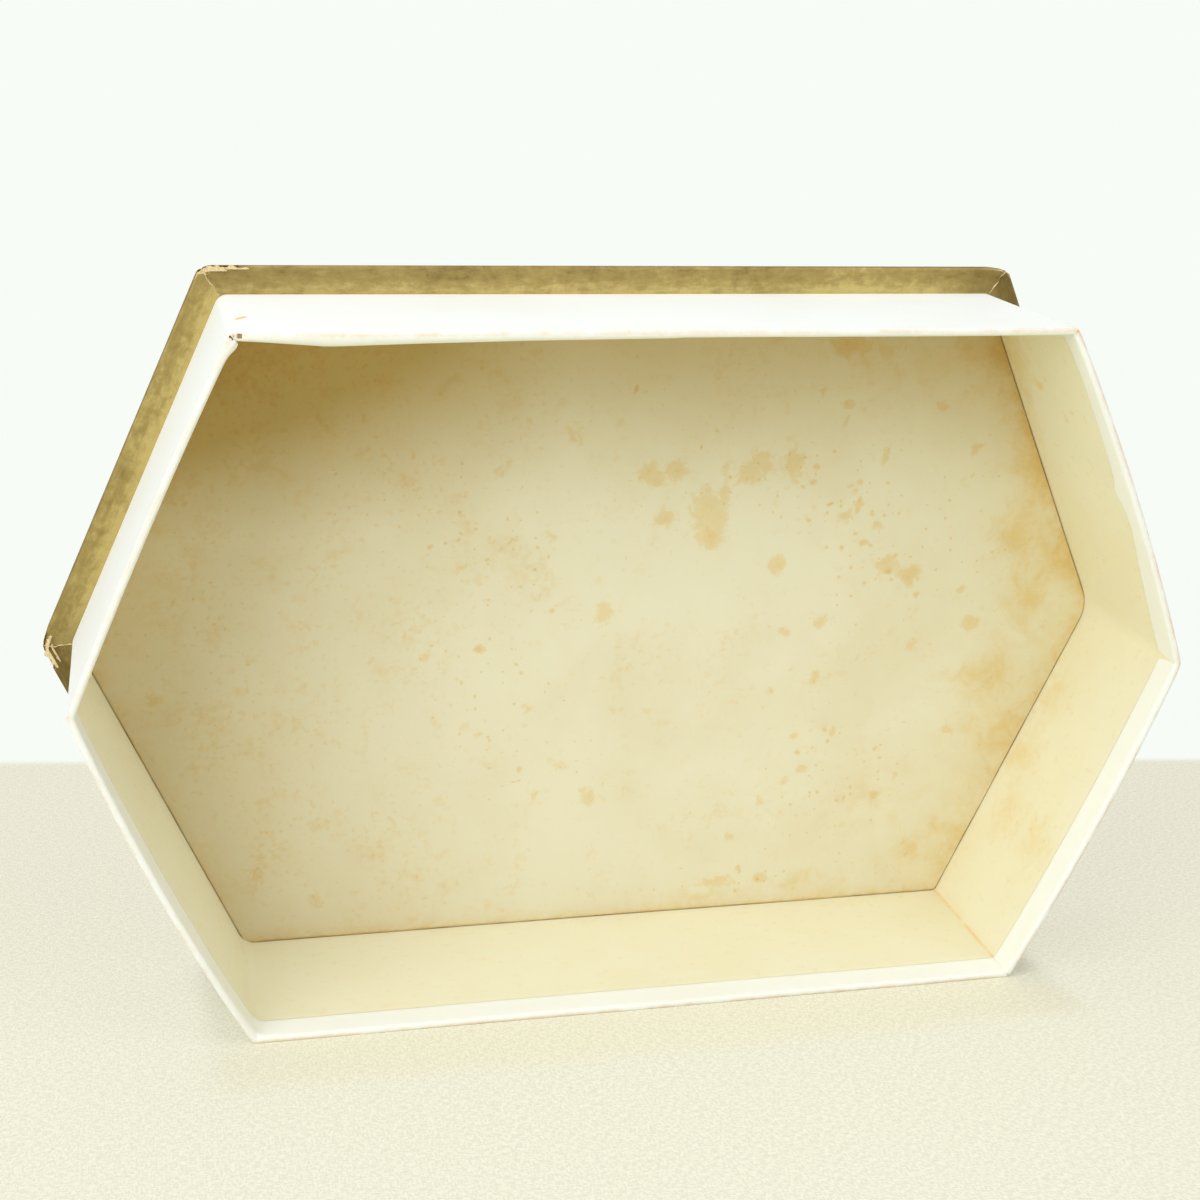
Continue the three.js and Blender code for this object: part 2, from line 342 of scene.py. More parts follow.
class Sheet:
    """A paper laid out as a mesh, with marks on its points that its finish reads."""

    def __init__(self, *marks):
        self.mesh = bmesh.new()
        self.marks = {name: self.mesh.verts.layers.float.new(name) for name in marks}

    def point(self, place, **marks):
        """Adds one point and its marks."""
        vert = self.mesh.verts.new(place)
        for name, value in marks.items():
            vert[self.marks[name]] = value
        return vert

    def face(self, *verts):
        """Adds one face, unless its points fall together."""
        if len(set(verts)) > 2:
            self.mesh.faces.new(verts)

    def join(self, lines, closed=False, flipped=False, torn=None):
        """Fills the strips between neighbouring lines of points, except where the paper is torn away."""
        following = lines[1:] + lines[:1] if closed else lines[1:]
        for index, (line, ahead) in enumerate(zip(lines, following)):
            for low in range(len(line) - 1):
                if torn and torn(index, low):
                    continue
                corners = (line[low], line[low + 1], ahead[low + 1], ahead[low])
                if flipped:
                    corners = (line[low], ahead[low], ahead[low + 1], line[low + 1])
                self.face(*corners)

    def piece(self, name, sizes, finish, slot, thickness, replaced=()):
        """Ends the mesh and makes it a piece of the tray."""
        bmesh.ops.remove_doubles(self.mesh, verts=self.mesh.verts, dist=MERGE_DISTANCE)
        bmesh.ops.dissolve_degenerate(self.mesh, edges=self.mesh.edges, dist=SHORTEST_EDGE)
        loose = [vert for vert in self.mesh.verts if not vert.link_faces]
        bmesh.ops.delete(self.mesh, geom=loose, context="VERTS")
        data = bpy.data.meshes.new(name)
        self.mesh.to_mesh(data)
        self.mesh.free()
        for polygon in data.polygons:
            polygon.use_smooth = True
        data.set_sharp_from_angle(angle=SHARP_ANGLE)
        data.materials.append(finish)
        piece = bpy.data.objects.new(name, data)
        bpy.context.collection.objects.link(piece)
        piece.matrix_world = tray_matrix(sizes)
        if thickness:
            backing = piece.modifiers.new("paper_thickness", "SOLIDIFY")
            backing.thickness = thickness
            backing.offset = -1
        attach(piece, "root")
        if replaced:
            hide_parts(*replaced)


class Finish:
    """A material whose nodes are added one by one, from its coordinates to its shader."""

    def __init__(self, name):
        self.material = bpy.data.materials.new(name)
        self.material.use_nodes = True
        self.nodes = self.material.node_tree.nodes
        self.links = self.material.node_tree.links
        self.shader = self.nodes["Principled BSDF"]
        self.place = self.nodes.new("ShaderNodeTexCoord").outputs["Object"]

    def give(self, socket, value):
        """Links a socket to another, or sets a plain value on it."""
        if isinstance(value, bpy.types.NodeSocket):
            self.links.new(value, socket)
        elif socket.type == "RGBA":
            socket.default_value = (*value[:3], 1.0)
        else:
            socket.default_value = value

    def stretched(self, x, y, z):
        """The coordinates drawn out by a scale in each direction."""
        mapping = self.nodes.new("ShaderNodeMapping")
        self.give(mapping.inputs["Vector"], self.place)
        mapping.inputs["Scale"].default_value = (x, y, z)
        return mapping.outputs["Vector"]

    def cloud(self, size, detail=3.0, rough=0.55, place=None, warp=0.0):
        """Soft noise, about 0 to 1, with features of a size in metres."""
        node = self.nodes.new("ShaderNodeTexNoise")
        self.give(node.inputs["Vector"], place or self.place)
        node.inputs["Scale"].default_value = 1 / size
        node.inputs["Detail"].default_value = detail
        node.inputs["Roughness"].default_value = rough
        node.inputs["Distortion"].default_value = warp
        return node.outputs[0]

    def cells(self, size, place=None):
        """Distance to the nearest of many scattered points, in cells of a size in metres."""
        node = self.nodes.new("ShaderNodeTexVoronoi")
        self.give(node.inputs["Vector"], place or self.place)
        node.inputs["Scale"].default_value = 1 / size
        return node.outputs["Distance"]

    def wandering(self, size, amount):
        """The coordinates pushed about by soft noise, so that round marks come out uneven."""
        push = self.nodes.new("ShaderNodeTexNoise")
        self.give(push.inputs["Vector"], self.place)
        push.inputs["Scale"].default_value = 1 / size
        moved = self.nodes.new("ShaderNodeVectorMath")
        moved.operation = "MULTIPLY_ADD"
        self.give(moved.inputs[0], push.outputs["Color"])
        moved.inputs[1].default_value = (amount, amount, amount)
        self.give(moved.inputs[2], self.place)
        return moved.outputs[0]

    def specks(self, size, density, largest, place, dimensions="2D"):
        """Small marks of uneven size, at most one to a cell; a higher density brings more and larger ones."""
        node = self.nodes.new("ShaderNodeTexVoronoi")
        node.voronoi_dimensions = dimensions
        self.give(node.inputs["Vector"], place)
        node.inputs["Scale"].default_value = 1 / size
        chance = self.nodes.new("ShaderNodeSeparateColor")
        self.give(chance.inputs[0], node.outputs["Color"])
        radius = self.step(self.sum("ADD", chance.outputs[0], density), 1.0, 1.9, 0.0, largest)
        return self.step(node.outputs["Distance"], radius, self.times(radius, 0.3))

    def mark(self, name):
        """A mark that the sheet carries on its points."""
        node = self.nodes.new("ShaderNodeAttribute")
        node.attribute_name = name
        return node.outputs["Fac"]

    def step(self, value, low, high, start=0.0, end=1.0):
        """A smooth step of a value from one level to another."""
        node = self.nodes.new("ShaderNodeMapRange")
        node.interpolation_type = "SMOOTHSTEP"
        for socket, given in zip(node.inputs, (value, low, high, start, end)):
            self.give(socket, given)
        return node.outputs["Result"]

    def sum(self, operation, first, second):
        """One step of arithmetic."""
        node = self.nodes.new("ShaderNodeMath")
        node.operation = operation
        self.give(node.inputs[0], first)
        self.give(node.inputs[1], second)
        return node.outputs[0]

    def times(self, first, second):
        """The product of two values."""
        return self.sum("MULTIPLY", first, second)

    def plus(self, first, second, share):
        """A value with a share of another one added."""
        return self.sum("ADD", first, self.times(second, share))

    def blend(self, share, first, second):
        """Two colours blended by a share."""
        node = self.nodes.new("ShaderNodeMix")
        node.data_type = "RGBA"
        self.give(node.inputs["Factor"], share)
        for socket, given in zip((node.inputs[6], node.inputs[7]), (first, second)):
            self.give(socket, given)
        return node.outputs[2]

    def tint(self, share, ground, stain):
        """A colour darkened by a see-through stain, by a share."""
        mixed = self.blend(share, ground, stain)
        mixed.node.blend_type = "MULTIPLY"
        return mixed

    def relief(self, height, depth, under=None):
        """Raised and sunk grain of a depth in metres."""
        node = self.nodes.new("ShaderNodeBump")
        node.inputs["Distance"].default_value = depth
        self.give(node.inputs["Height"], height)
        if under:
            self.give(node.inputs["Normal"], under)
        return node.outputs["Normal"]

    def done(self, base, roughness, normal, metallic=0.0, specular=0.5):
        """Feeds the shader and gives the material back."""
        for name, value in (("Base Color", base), ("Roughness", roughness), ("Normal", normal),
                            ("Metallic", metallic), ("Specular IOR Level", specular)):
            self.give(self.shader.inputs[name], value)
        return self.material


def white_cover_finish(colours):
    """White coated paper, yellowed in places, rubbed to bare fibre along its folds, with painted shade on the
    inner half of its rim.
    """
    make = Finish("white_cover_paper")
    aged = make.step(make.cloud(38 * MM, 4), 0.42, 0.72)
    tone = make.blend(aged, colours.white, colours.white_aged)
    grime = make.step(make.cloud(2.6 * MM, 5, 0.7), 0.62, 0.82, 0.0, 0.16)
    tone = make.blend(grime, tone, colours.cream_aged)
    patchy = make.cloud(1.3 * MM, 5, 0.7)
    long_patch = make.step(make.cloud(9 * MM, 3), 0.3, 0.62, 0.35, 1.0)
    rubbed = make.times(make.mark("edge_wear"), long_patch)
    worn = make.step(make.plus(rubbed, patchy, 0.5), 0.38, 0.95, 0.0, 0.75)
    tone = make.blend(worn, tone, colours.worn)
    pitted = make.step(make.cloud(0.9 * MM, 4, 0.75), 0.6, 0.68)
    nicks = make.times(make.step(rubbed, 0.36, 0.75), pitted)
    tone = make.blend(make.times(nicks, 0.6), tone, colours.nick)
    # Painted shade on the inner half of the rim and the turned-in paper, made patchy.
    painted_rim_shade = make.times(make.mark("grime"), make.step(patchy, 0.3, 0.7, 0.8, 1.1))
    tone = make.tint(painted_rim_shade, tone, colours.grime)
    dark = make.step(make.plus(make.mark("scuff"), patchy, 0.6), 0.6, 1.1)
    tone = make.tint(dark, tone, colours.scuff)
    fibre = make.cloud(0.45 * MM, 4, 0.6)
    cockle = make.cloud(11 * MM, 2)
    skin = make.relief(fibre, 0.012 * MM, make.relief(cockle, 0.12 * MM))
    roughness = make.step(fibre, 0.2, 0.8, 0.42, 0.6)
    return make.done(tone, roughness, skin, specular=0.35)


def cream_lining_finish(colours):
    """Cream lining paper with faint stains and a brown line at its seam."""
    make = Finish("cream_lining_paper")
    aged = make.step(make.cloud(42 * MM, 3), 0.4, 0.75, 0.0, 0.4)
    tone = make.blend(aged, colours.cream, colours.cream_aged)
    edge = make.cloud(5 * MM, 5, 0.65, warp=0.6)
    spread_stain = make.plus(make.mark("stain"), edge, 1.1)
    tone = make.tint(make.step(spread_stain, 0.7, 1.6, 0.0, 0.8), tone, colours.stain)
    specks = make.specks(9 * MM, make.mark("specked"), 0.2, make.wandering(2.5 * MM, 1.5 * MM), "3D")
    tone = make.tint(make.times(specks, 0.6), tone, colours.stain_deep)
    freckles = make.cloud(2.8 * MM, 3, 0.55)
    tone = make.tint(make.step(freckles, 0.56, 0.78, 0.0, 0.4), tone, colours.stain)
    seam = make.times(make.mark("seam"), make.step(edge, 0.3, 0.6, 0.3, 1.0))
    tone = make.tint(make.times(seam, 1.1), tone, colours.scuff)
    fibre = make.cloud(0.5 * MM, 4, 0.6)
    skin = make.relief(fibre, 0.016 * MM, make.relief(make.cloud(9 * MM, 2), 0.1 * MM))
    return make.done(tone, make.step(fibre, 0.2, 0.8, 0.55, 0.72), skin, specular=0.3)


def floor_card_finish(colours):
    """Cream card with soft age stains, scattered specks, a tan that drifts in from its edges, and painted
    shade in its upper left and along its edges.
    """
    make = Finish("floor_card_face")
    aged = make.step(make.cloud(55 * MM, 4, 0.6), 0.36, 0.74, 0.0, 0.35)
    tone = make.blend(aged, colours.card, colours.card_aged)
    # Tan and painted shade, strongest in the upper left corner.
    tone = make.blend(make.mark("tanned"), tone, colours.card_tan_and_shade)
    clumps = make.times(make.cloud(24 * MM, 3), 0.34)
    freckled = make.plus(clumps, make.mark("freckled"), 0.16)
    for size, thick, thin, strength in ((1.9 * MM, 0.82, 1.04, 0.5), (5 * MM, 0.8, 1.06, 0.42)):
        spots = make.sum("ADD", make.cloud(size, 3, 0.55), freckled)
        tone = make.tint(make.step(spots, thick, thin, 0.0, strength), tone, colours.stain)
    # Browning and painted shade along the card's edges.
    patchy_edge = make.step(make.cloud(3.2 * MM, 5, 0.65), 0.3, 0.64, 0.5, 1.15)
    tone = make.tint(make.times(make.mark("edged"), patchy_edge), tone, colours.stain)
    cloudy = make.cloud(7 * MM, 6, 0.68, warp=0.5)
    drift = make.plus(make.mark("drift"), cloudy, 1.5)
    tone = make.tint(make.step(drift, 0.85, 1.75, 0.0, 0.95), tone, colours.stain)
    ragged = make.cloud(2.3 * MM, 6, 0.68, warp=0.6)
    soft = make.plus(make.mark("stain"), ragged, 1.5)
    tone = make.tint(make.step(soft, 1.0, 1.42, 0.0, 0.62), tone, colours.stain)
    tone = make.tint(make.step(soft, 1.45, 2.1, 0.0, 0.5), tone, colours.stain)
    uneven = make.wandering(3 * MM, 2.2 * MM)
    for size, largest in ((8.5 * MM, 0.24), (4.3 * MM, 0.28)):
        specks = make.specks(size, make.mark("specked"), largest, uneven)
        tone = make.tint(make.times(specks, 0.75), tone, colours.stain)
    fibre = make.cloud(0.6 * MM, 5, 0.65, place=make.stretched(1, 2.2, 1))
    skin = make.relief(fibre, 0.03 * MM)
    return make.done(tone, make.step(fibre, 0.2, 0.8, 0.62, 0.8), skin, specular=0.25)


def gold_paper_finish(colours):
    """Gold metal paper with streaky tarnish and rubbed edges, brightened by the wall and darkened on some
    flaps by painted reflection.
    """
    make = Finish("gold_metal_paper")
    strip = make.nodes.new("ShaderNodeCombineXYZ")
    make.give(strip.inputs["X"], make.times(make.mark("run"), 0.3))
    make.give(strip.inputs["Y"], make.mark("across"))
    streak = make.cloud(1.7 * MM, 5, 0.65, place=strip.outputs[0])
    blotch = make.cloud(3.4 * MM, 6, 0.7, warp=0.4)
    broad = make.cloud(28 * MM, 3)
    tarnish_and_reflection = make.plus(make.times(streak, 0.35), blotch, 0.35)
    tarnish_and_reflection = make.plus(tarnish_and_reflection, broad, 0.3)
    # Painted reflection brightens the gold near the wall's foot and on the upper left flap.
    tarnish_and_reflection = make.plus(tarnish_and_reflection, make.mark("by_wall"), -0.13)
    tone = make.blend(make.step(tarnish_and_reflection, 0.3, 0.49), colours.gold, colours.gold_dull)
    tone = make.blend(make.step(tarnish_and_reflection, 0.46, 0.66), tone, colours.gold_dark)
    sparkle = make.step(make.cloud(0.7 * MM, 4, 0.8), 0.58, 0.8, 0.0, 0.45)
    tone = make.blend(sparkle, tone, colours.gold)
    # Painted dark reflection on some flaps and at the tips, painted shade along the plate's edge, tarnish on
    # its back.
    tone = make.tint(make.mark("tarnished"), tone, colours.tarnish_and_reflection)
    patchy = make.cloud(1.1 * MM, 5, 0.7)
    rubbed = make.plus(make.mark("edge_wear"), patchy, 0.6)
    tone = make.blend(make.step(rubbed, 0.72, 0.95), tone, colours.board)
    metal = make.step(rubbed, 0.72, 0.95, 0.9, 0.0)
    roughness = make.step(blotch, 0.3, 0.75, 0.36, 0.56)
    crinkle = make.cloud(1.6 * MM, 4, 0.6)
    skin = make.relief(crinkle, 0.03 * MM, make.relief(make.cloud(14 * MM, 2), 0.15 * MM))
    return make.done(tone, roughness, skin, metallic=metal)


def board_finish(colours, name, plain, fleck):
    """Pressed fibre board with dark and pale flecks."""
    make = Finish(name)
    tone = make.blend(make.step(make.cloud(7 * MM, 5, 0.65), 0.35, 0.7), plain, fleck)
    fibres = make.cloud(1.1 * MM, 5, 0.75, place=make.stretched(1, 0.35, 1))
    tone = make.blend(make.step(fibres, 0.56, 0.75, 0.0, 0.8), tone, fleck)
    pale = make.step(make.cells(1.7 * MM), 0.08, 0.2, 0.6, 0.0)
    tone = make.blend(pale, tone, colours.cream_aged)
    roughness = make.step(fibres, 0.2, 0.8, 0.8, 0.95)
    return make.done(tone, roughness, make.relief(fibres, 0.08 * MM), specular=0.2)


# How far in millimetres the cover paper comes down inside the upper right wall, at shares from the right tip.
UPPER_RIGHT_TURN_IN = ((0.0, 9.6), (0.05, 10.3), (0.16, 9.8), (0.31, 8.0), (0.39, 6.5), (0.457, 6.6),
                       (0.5, 9.2), (0.518, 9.9), (0.535, 8.3), (0.56, 7.5), (0.67, 6.9), (0.83, 6.5),
                       (0.95, 7.7), (1.0, 9.0))
# How far the turned-in paper stands off the top wall, by the distance from the top left corner: millimetres.
TOP_SLACK = ((0.0, 0.0), (8.0, 0.45), (22.0, 1.5), (26.0, 1.45), (45.0, 0.9), (70.0, 0.45), (107.0, 0.1))
# How far the cut edge of the turned-in paper wavers and frays, and how far the paper stands off the walls.
TURN_IN_WAVER = 0.35 * MM
TURN_IN_FRAY = 0.1 * MM
TURN_IN_SLACK = 0.12 * MM
# How far the turned-in paper comes down at the top right corner, before it gets to its usual depth.
TOP_RIGHT_TURN_IN = 9 * MM
# Extra rounding of the turned-in paper where it bridges a corner.
BRIDGED_CORNERS = {"top_left": 1.0 * MM, "bottom_left": 4.3 * MM}
# Extra rounding of the cover paper at the foot of a corner.
FOOT_ROUNDING = {"left": 1.6 * MM}
# How strongly each side's outer rim edge is rubbed.
RIM_RUBBING = {"upper_right": 0.5, "top": 0.45, "upper_left": 0.35, "lower_left": 0.35, "bottom": 0.62,
               "lower_right": 0.55}
# How strongly painted shade darkens the inner half of each side's rim and the paper turned in below it.
RIM_PAINTED_SHADE = {"upper_right": 0.0, "top": 0.9, "upper_left": 0.6, "lower_left": 0.05, "bottom": 0.0,
             "lower_right": 0.0}
# How much sharper the corners are at the rim than at the foot.
RIM_SHARPER = 1.9 * MM
# Holes in the paper at the top left rim corner: place round the corner, place across the rim and radius, in
# millimetres.
RIM_HOLES = ((-3.1, 0.3, 0.62), (-1.1, 0.5, 0.35), (1.4, 0.2, 0.72))
# Slits in the paper at the two tips: half width, and where across the rim they start and end.
TIP_SLIT_HALF_WIDTH = 0.08 * MM
TIP_SLIT_START = -0.4 * MM
TIP_SLIT_END = 2.4 * MM


def rim_torn(corner, away, across):
    """Whether the cover paper is torn or slit open at a place on the rim."""
    ragged = noise.noise(Vector((away, across, 0.01 * corner)) * 2400) * 0.3 * MM
    name = CORNERS[corner]
    if name == "top_left":
        for hole_away, hole_across, radius in RIM_HOLES:
            gap = math.hypot(away - hole_away * MM, across - hole_across * MM)
            if gap + ragged < radius * MM:
                return True
        return False
    if name in ("right", "left"):
        return abs(away) < TIP_SLIT_HALF_WIDTH and TIP_SLIT_START < across < TIP_SLIT_END
    if name == "bottom_right":
        narrowing = 1 - across / (2.6 * MM)
        return -0.7 * MM < across and abs(away) + ragged < 0.5 * MM * narrowing
    if name == "top_right":
        return math.hypot(away - 0.3 * MM, across) + ragged < 0.32 * MM
    return False


def cover_turn_in(sizes, station):
    """How far the cover paper comes down inside at a station."""
    reach = sizes.turn_in + TURN_IN_WAVER * ripple(station.run, 3.1, 60 * MM)
    reach += TURN_IN_FRAY * ripple(station.run, 7.7, 3 * MM)
    if SIDES[station.side] == "upper_right" and station.corner < 0:
        reach = along_points(UPPER_RIGHT_TURN_IN, station.along) * MM
        reach += TURN_IN_WAVER * ripple(station.run, 5.3, 7 * MM)
    if SIDES[station.side] == "top" and station.corner < 0:
        share = eased(station.along, 0.0, 0.12)
        reach = TOP_RIGHT_TURN_IN * (1 - share) + reach * share
    return reach


def cover_slack(station):
    """How far the turned-in paper stands off the wall at a station."""
    slack = TURN_IN_SLACK * (1 + ripple(station.run, 1.9, 35 * MM))
    if SIDES[station.side] == "top" and CORNERS[station.nearest] == "top_left":
        slack += along_points(TOP_SLACK, abs(station.away) / MM) * MM
    if CORNERS[station.nearest] == "top_left" and SIDES[station.side] == "upper_left":
        slack += 0.95 * MM * bell(station.away - 2.6 * MM, 2.7 * MM)
    return slack


# How far the cover paper is rounded over the rim, on its outer and its inner edge.
RIM_ROUNDING = (0.6 * MM, 0.8 * MM)
# How far the rim rises and falls, in long waves and in short ones.
RIM_WAVE = 0.16 * MM
RIM_WAVER = 0.05 * MM


def cover_rows(sizes, station):
    """The cover paper's section: from under the foot, up the wall, over the rim and down inside."""
    fold = sizes.rim_fold
    high = sizes.wall_height
    low = sizes.foot_gap
    thick = sizes.wall_thickness
    quarter = math.pi / 2
    rows = [Row(inset, low, low - high) for inset in (sizes.foot_under, 4 * MM, 1.2 * MM, fold)]
    for step in (0.35, 0.7, 1.0):
        turn = quarter * step
        rows.append(Row(fold * (1 - math.sin(turn)), low + fold * (1 - math.cos(turn)), low - high))
    outer, inner = RIM_ROUNDING
    start = low + fold
    reach = high - outer - start
    middle = [0.56 + 0.012 * step for step in range(13)]
    for share in (0.03, 0.09, 0.18, 0.3, 0.43, *middle, 0.78, 0.86, 0.915, 0.95, 0.972, 0.985, 1.0):
        height = start + reach * share
        rows.append(Row(0.0, height, height - high))
    arc = (0.17, 0.33, 0.5, 0.67, 0.83, 1.0)
    for step in arc:
        turn = quarter * step
        place = outer * (1 - math.cos(turn))
        rows.append(Row(place, high - outer + outer * math.sin(turn), outer * (step - 0.5)))
    flat = thick - outer - inner
    for share in (0.5, 1.0):
        rows.append(Row(outer + flat * share, high, outer * 0.5 + flat * share, 0.3 * share))
    for step in arc:
        turn = quarter * step
        place = thick - inner + inner * math.sin(turn)
        across = outer * 0.5 + flat + inner * step
        rows.append(Row(place, high - inner + inner * math.cos(turn), across, 0.3 + 0.7 * step))
    inside = cover_turn_in(sizes, station) - inner
    for share in (0.05, 0.13, 0.25, 0.4, 0.55, 0.7, 0.83, 0.93, 1.0):
        loose = 1.0 - 0.75 * share * share
        rows.append(Row(thick, high - inner - inside * share, thick + inside * share, loose))
    return rows


def torn_faces(stations, acrosses, is_torn):
    """A test for whether the paper is torn away between a station and the next, at one row."""
    def torn(index, low):
        here = stations[index]
        there = stations[(index + 1) % len(stations)]
        if here.nearest != there.nearest:
            return False
        across = (acrosses[index][low] + acrosses[index][low + 1]) / 2
        return is_torn(here.nearest, (here.away + there.away) / 2, across)

    return torn


def build_wall_cover(sizes, finish):
    """The white paper round the walls, as one sheet."""
    sheet = Sheet("edge_wear", "scuff", "grime")
    stations = walk_round(sizes, sizes.corner_radius, sizes.corner_radius, *COVER_STEPS)
    columns = []
    acrosses = []
    for station in stations:
        slack = cover_slack(station)
        side = SIDES[station.side]
        corner = CORNERS[station.nearest]
        at_corner = bell(station.away, 2.6 * MM)
        wave = RIM_WAVE * ripple(station.run, 2.2, 28 * MM) + RIM_WAVER * ripple(station.run, 4.4, 5 * MM)
        bridging = BRIDGED_CORNERS.get(corner, 0.0)
        rounding = FOOT_ROUNDING.get(corner, 0.0)
        if station.corner < 0:
            straight = eased(min(station.along, 1 - station.along), 0.0, 0.2)
            bridging *= 1 - straight
            rounding *= 1 - straight
        column = []
        rows = cover_rows(sizes, station)
        for row in rows:
            inside = eased(row.across, sizes.wall_thickness - sizes.rim_fold, sizes.wall_thickness)
            at_foot = 1 - eased(row.height, 0.0, 0.7 * sizes.wall_height)
            at_rim = eased(row.height, 0.3 * sizes.wall_height, sizes.wall_height)
            centre = sizes.corner_radius + bridging * inside + rounding * at_foot - RIM_SHARPER * at_rim
            flat = edge_point(sizes, station, row.inset + slack * row.loose, centre)
            flat += station.out * wall_bow(sizes, station, row.height)
            on_rim = eased(row.across, -5 * MM, 0.0) * (1 - eased(row.across, 2 * MM, 6 * MM))
            height = row.height + wave * on_rim
            wear = RIM_RUBBING[side] * bell(row.across, 0.6 * MM)
            wear += 0.16 * bell(row.across - 0.7 * MM, 0.9 * MM)
            wear += 0.35 * at_corner * bell(row.across, 1.1 * MM)
            # A tan line along the wall's foot where it meets the plate: partly stained paper edge, partly
            # painted shade in the crease.
            wear += 0.35 * bell(row.height - sizes.foot_gap, 0.35 * MM)
            scuff = cover_scuff(station, row)
            # Painted shade on the inner half of the rim, strongest on the top side.
            grime = RIM_PAINTED_SHADE[side] * eased(row.across, 0.0, 2.2 * MM)
            column.append(sheet.point((flat.x, flat.y, height), edge_wear=wear, scuff=scuff, grime=grime))
        columns.append(column)
        acrosses.append([row.across for row in rows])
    sheet.join(columns, closed=True, flipped=True, torn=torn_faces(stations, acrosses, rim_torn))
    sheet.piece("wall_cover_sheet", sizes, finish, "white_paper", sizes.paper, ["wall_cover_paper"])


def cover_scuff(station, row):
    """Brown rubbing on the cover paper: a streak by the top left corner and dirt at the upper rim corners."""
    name = CORNERS[station.nearest]
    side = SIDES[station.side]
    scuff = 0.0
    if name == "top_left" and side == "top":
        onward = -station.away - 3.9 * MM
        rise = row.across + 21 * MM
        along = 0.47 * onward - 0.88 * rise
        beside = 0.88 * onward + 0.47 * rise
        scuff += 1.2 * bell(along, 3.2 * MM) * bell(beside, 0.9 * MM)
    if name == "top_right" and side == "upper_right":
        scuff += 0.4 * math.exp(station.away / (14 * MM)) * bell(row.across - 0.5 * MM, 0.9 * MM)
    if name == "top_left":
        scuff += 0.55 * bell(station.away + 0.8 * MM, 3.2 * MM) * bell(row.across, 1.1 * MM)
    if name == "top_right":
        scuff += 0.35 * bell(station.away, 1.8 * MM) * bell(row.across - 0.4 * MM, 1.1 * MM)
    return scuff


# A wall board inside its papers: insets of its two faces, height of its foot, and its top below the rim.
WALL_BOARD_FACES = (0.45 * MM, 1.28 * MM)
WALL_BOARD_FOOT = 0.36 * MM
WALL_BOARD_LOWER = 0.6 * MM
# How many faces a bowed board has up its height.
WALL_BOARD_ROWS = 12


def build_bowed_board(sizes, side, finish):
    """One wall board that has bowed with its papers."""
    sheet = Sheet()
    outer, inner = WALL_BOARD_FACES
    top = sizes.wall_height - WALL_BOARD_LOWER
    rise = (top - WALL_BOARD_FOOT) / WALL_BOARD_ROWS
    heights = [WALL_BOARD_FOOT + rise * step for step in range(WALL_BOARD_ROWS + 1)]
    section = [(outer, height) for height in heights] + [(inner, height) for height in reversed(heights)]
    stations = walk_round(sizes, sizes.corner_radius, sizes.corner_radius, *WALL_BOARD_STEPS)
    # The walk starts with the last side's half of the right tip, so those stations go to the end.
    leading = sum(station.side == len(SIDES) - 1 for station in stations[:WALL_BOARD_STEPS[-1] + 1])
    columns = []
    for station in stations[leading:] + stations[:leading]:
        if SIDES[station.side] != side:
            continue
        column = []
        for inset, height in section:
            flat = edge_point(sizes, station, inset, sizes.corner_radius)
            flat += station.out * wall_bow(sizes, station, height)
            column.append(sheet.point((flat.x, flat.y, height)))
        columns.append(column)
    sheet.join([column + column[:1] for column in columns], flipped=True)
    first, last = columns[0], columns[-1]
    for low in range(WALL_BOARD_ROWS):
        sheet.face(first[low], first[low + 1], first[-low - 2], first[-low - 1])
        sheet.face(last[low], last[-low - 1], last[-low - 2], last[low + 1])
    sheet.piece(f"bowed_board_{side}", sizes, finish, "greyboard", 0.0, [f"wall_board_{side}"])


# Stains on the lining: side, share along it, height above the floor, half length and half height in
# millimetres, strength.
LINING_STAINS = (
    ("lower_right", 0.72, 6, 9, 8, 0.5),
    ("lower_right", 0.52, 9, 8, 6, 0.45),
    ("lower_right", 0.33, 14, 9, 9, 0.5),
    ("lower_right", 0.33, 36, 12, 12, 0.5),
    ("lower_right", 0.6, 20, 30, 24, 0.18),
    ("lower_right", 0.49, 3, 5, 4, 0.5),
    ("upper_right", 0.6, 5, 12, 5, 0.4),
    ("upper_right", 0.94, 12, 24, 26, 0.45),
    ("upper_right", 0.84, 4, 14, 7, 0.5),
    ("upper_right", 0.776, 18, 1.3, 2.2, 0.9),
    ("upper_right", 0.728, 34, 1.2, 1.6, 0.75),
    ("upper_right", 0.695, 29, 1.3, 1.8, 0.7),
    ("bottom", 0.85, 4, 14, 4, 0.4),
    ("bottom", 0.45, 3, 30, 3, 0.35),
    ("lower_left", 0.5, 3, 30, 3, 0.3),
)
# Extra rounding of the lining in the corners where it was pulled across, at the floor.
LINING_ROUNDING = {"right": 10 * MM, "left": 6 * MM, "bottom_left": 3 * MM}
# How far below the rim the lining ends, behind the turned-in cover, and how many rows it has.
LINING_BELOW_RIM = 2.2 * MM
LINING_ROWS = 45
# How far the lining swells off the wall.
LINING_SWELL = 0.1 * MM


def lining_stain(sizes, station, height):
    """Strength of the stains on the lining at a place."""
    if station.corner >= 0:
        return 0.0
    corners = sharp_corners(sizes, sizes.lining_inset)
    reach = (corners[next_corner(station.side)] - corners[station.side]).length
    total = 0.0
    for side, along, above, half_length, half_height, strength in LINING_STAINS:
        if SIDES[station.side] != side:
            continue
        sideways = (station.along - along) * reach / (half_length * MM)
        upwards = (height - sizes.card_top - above * MM) / (half_height * MM)
        total += strength * math.exp(-sideways ** 2 - upwards ** 2)
    return total


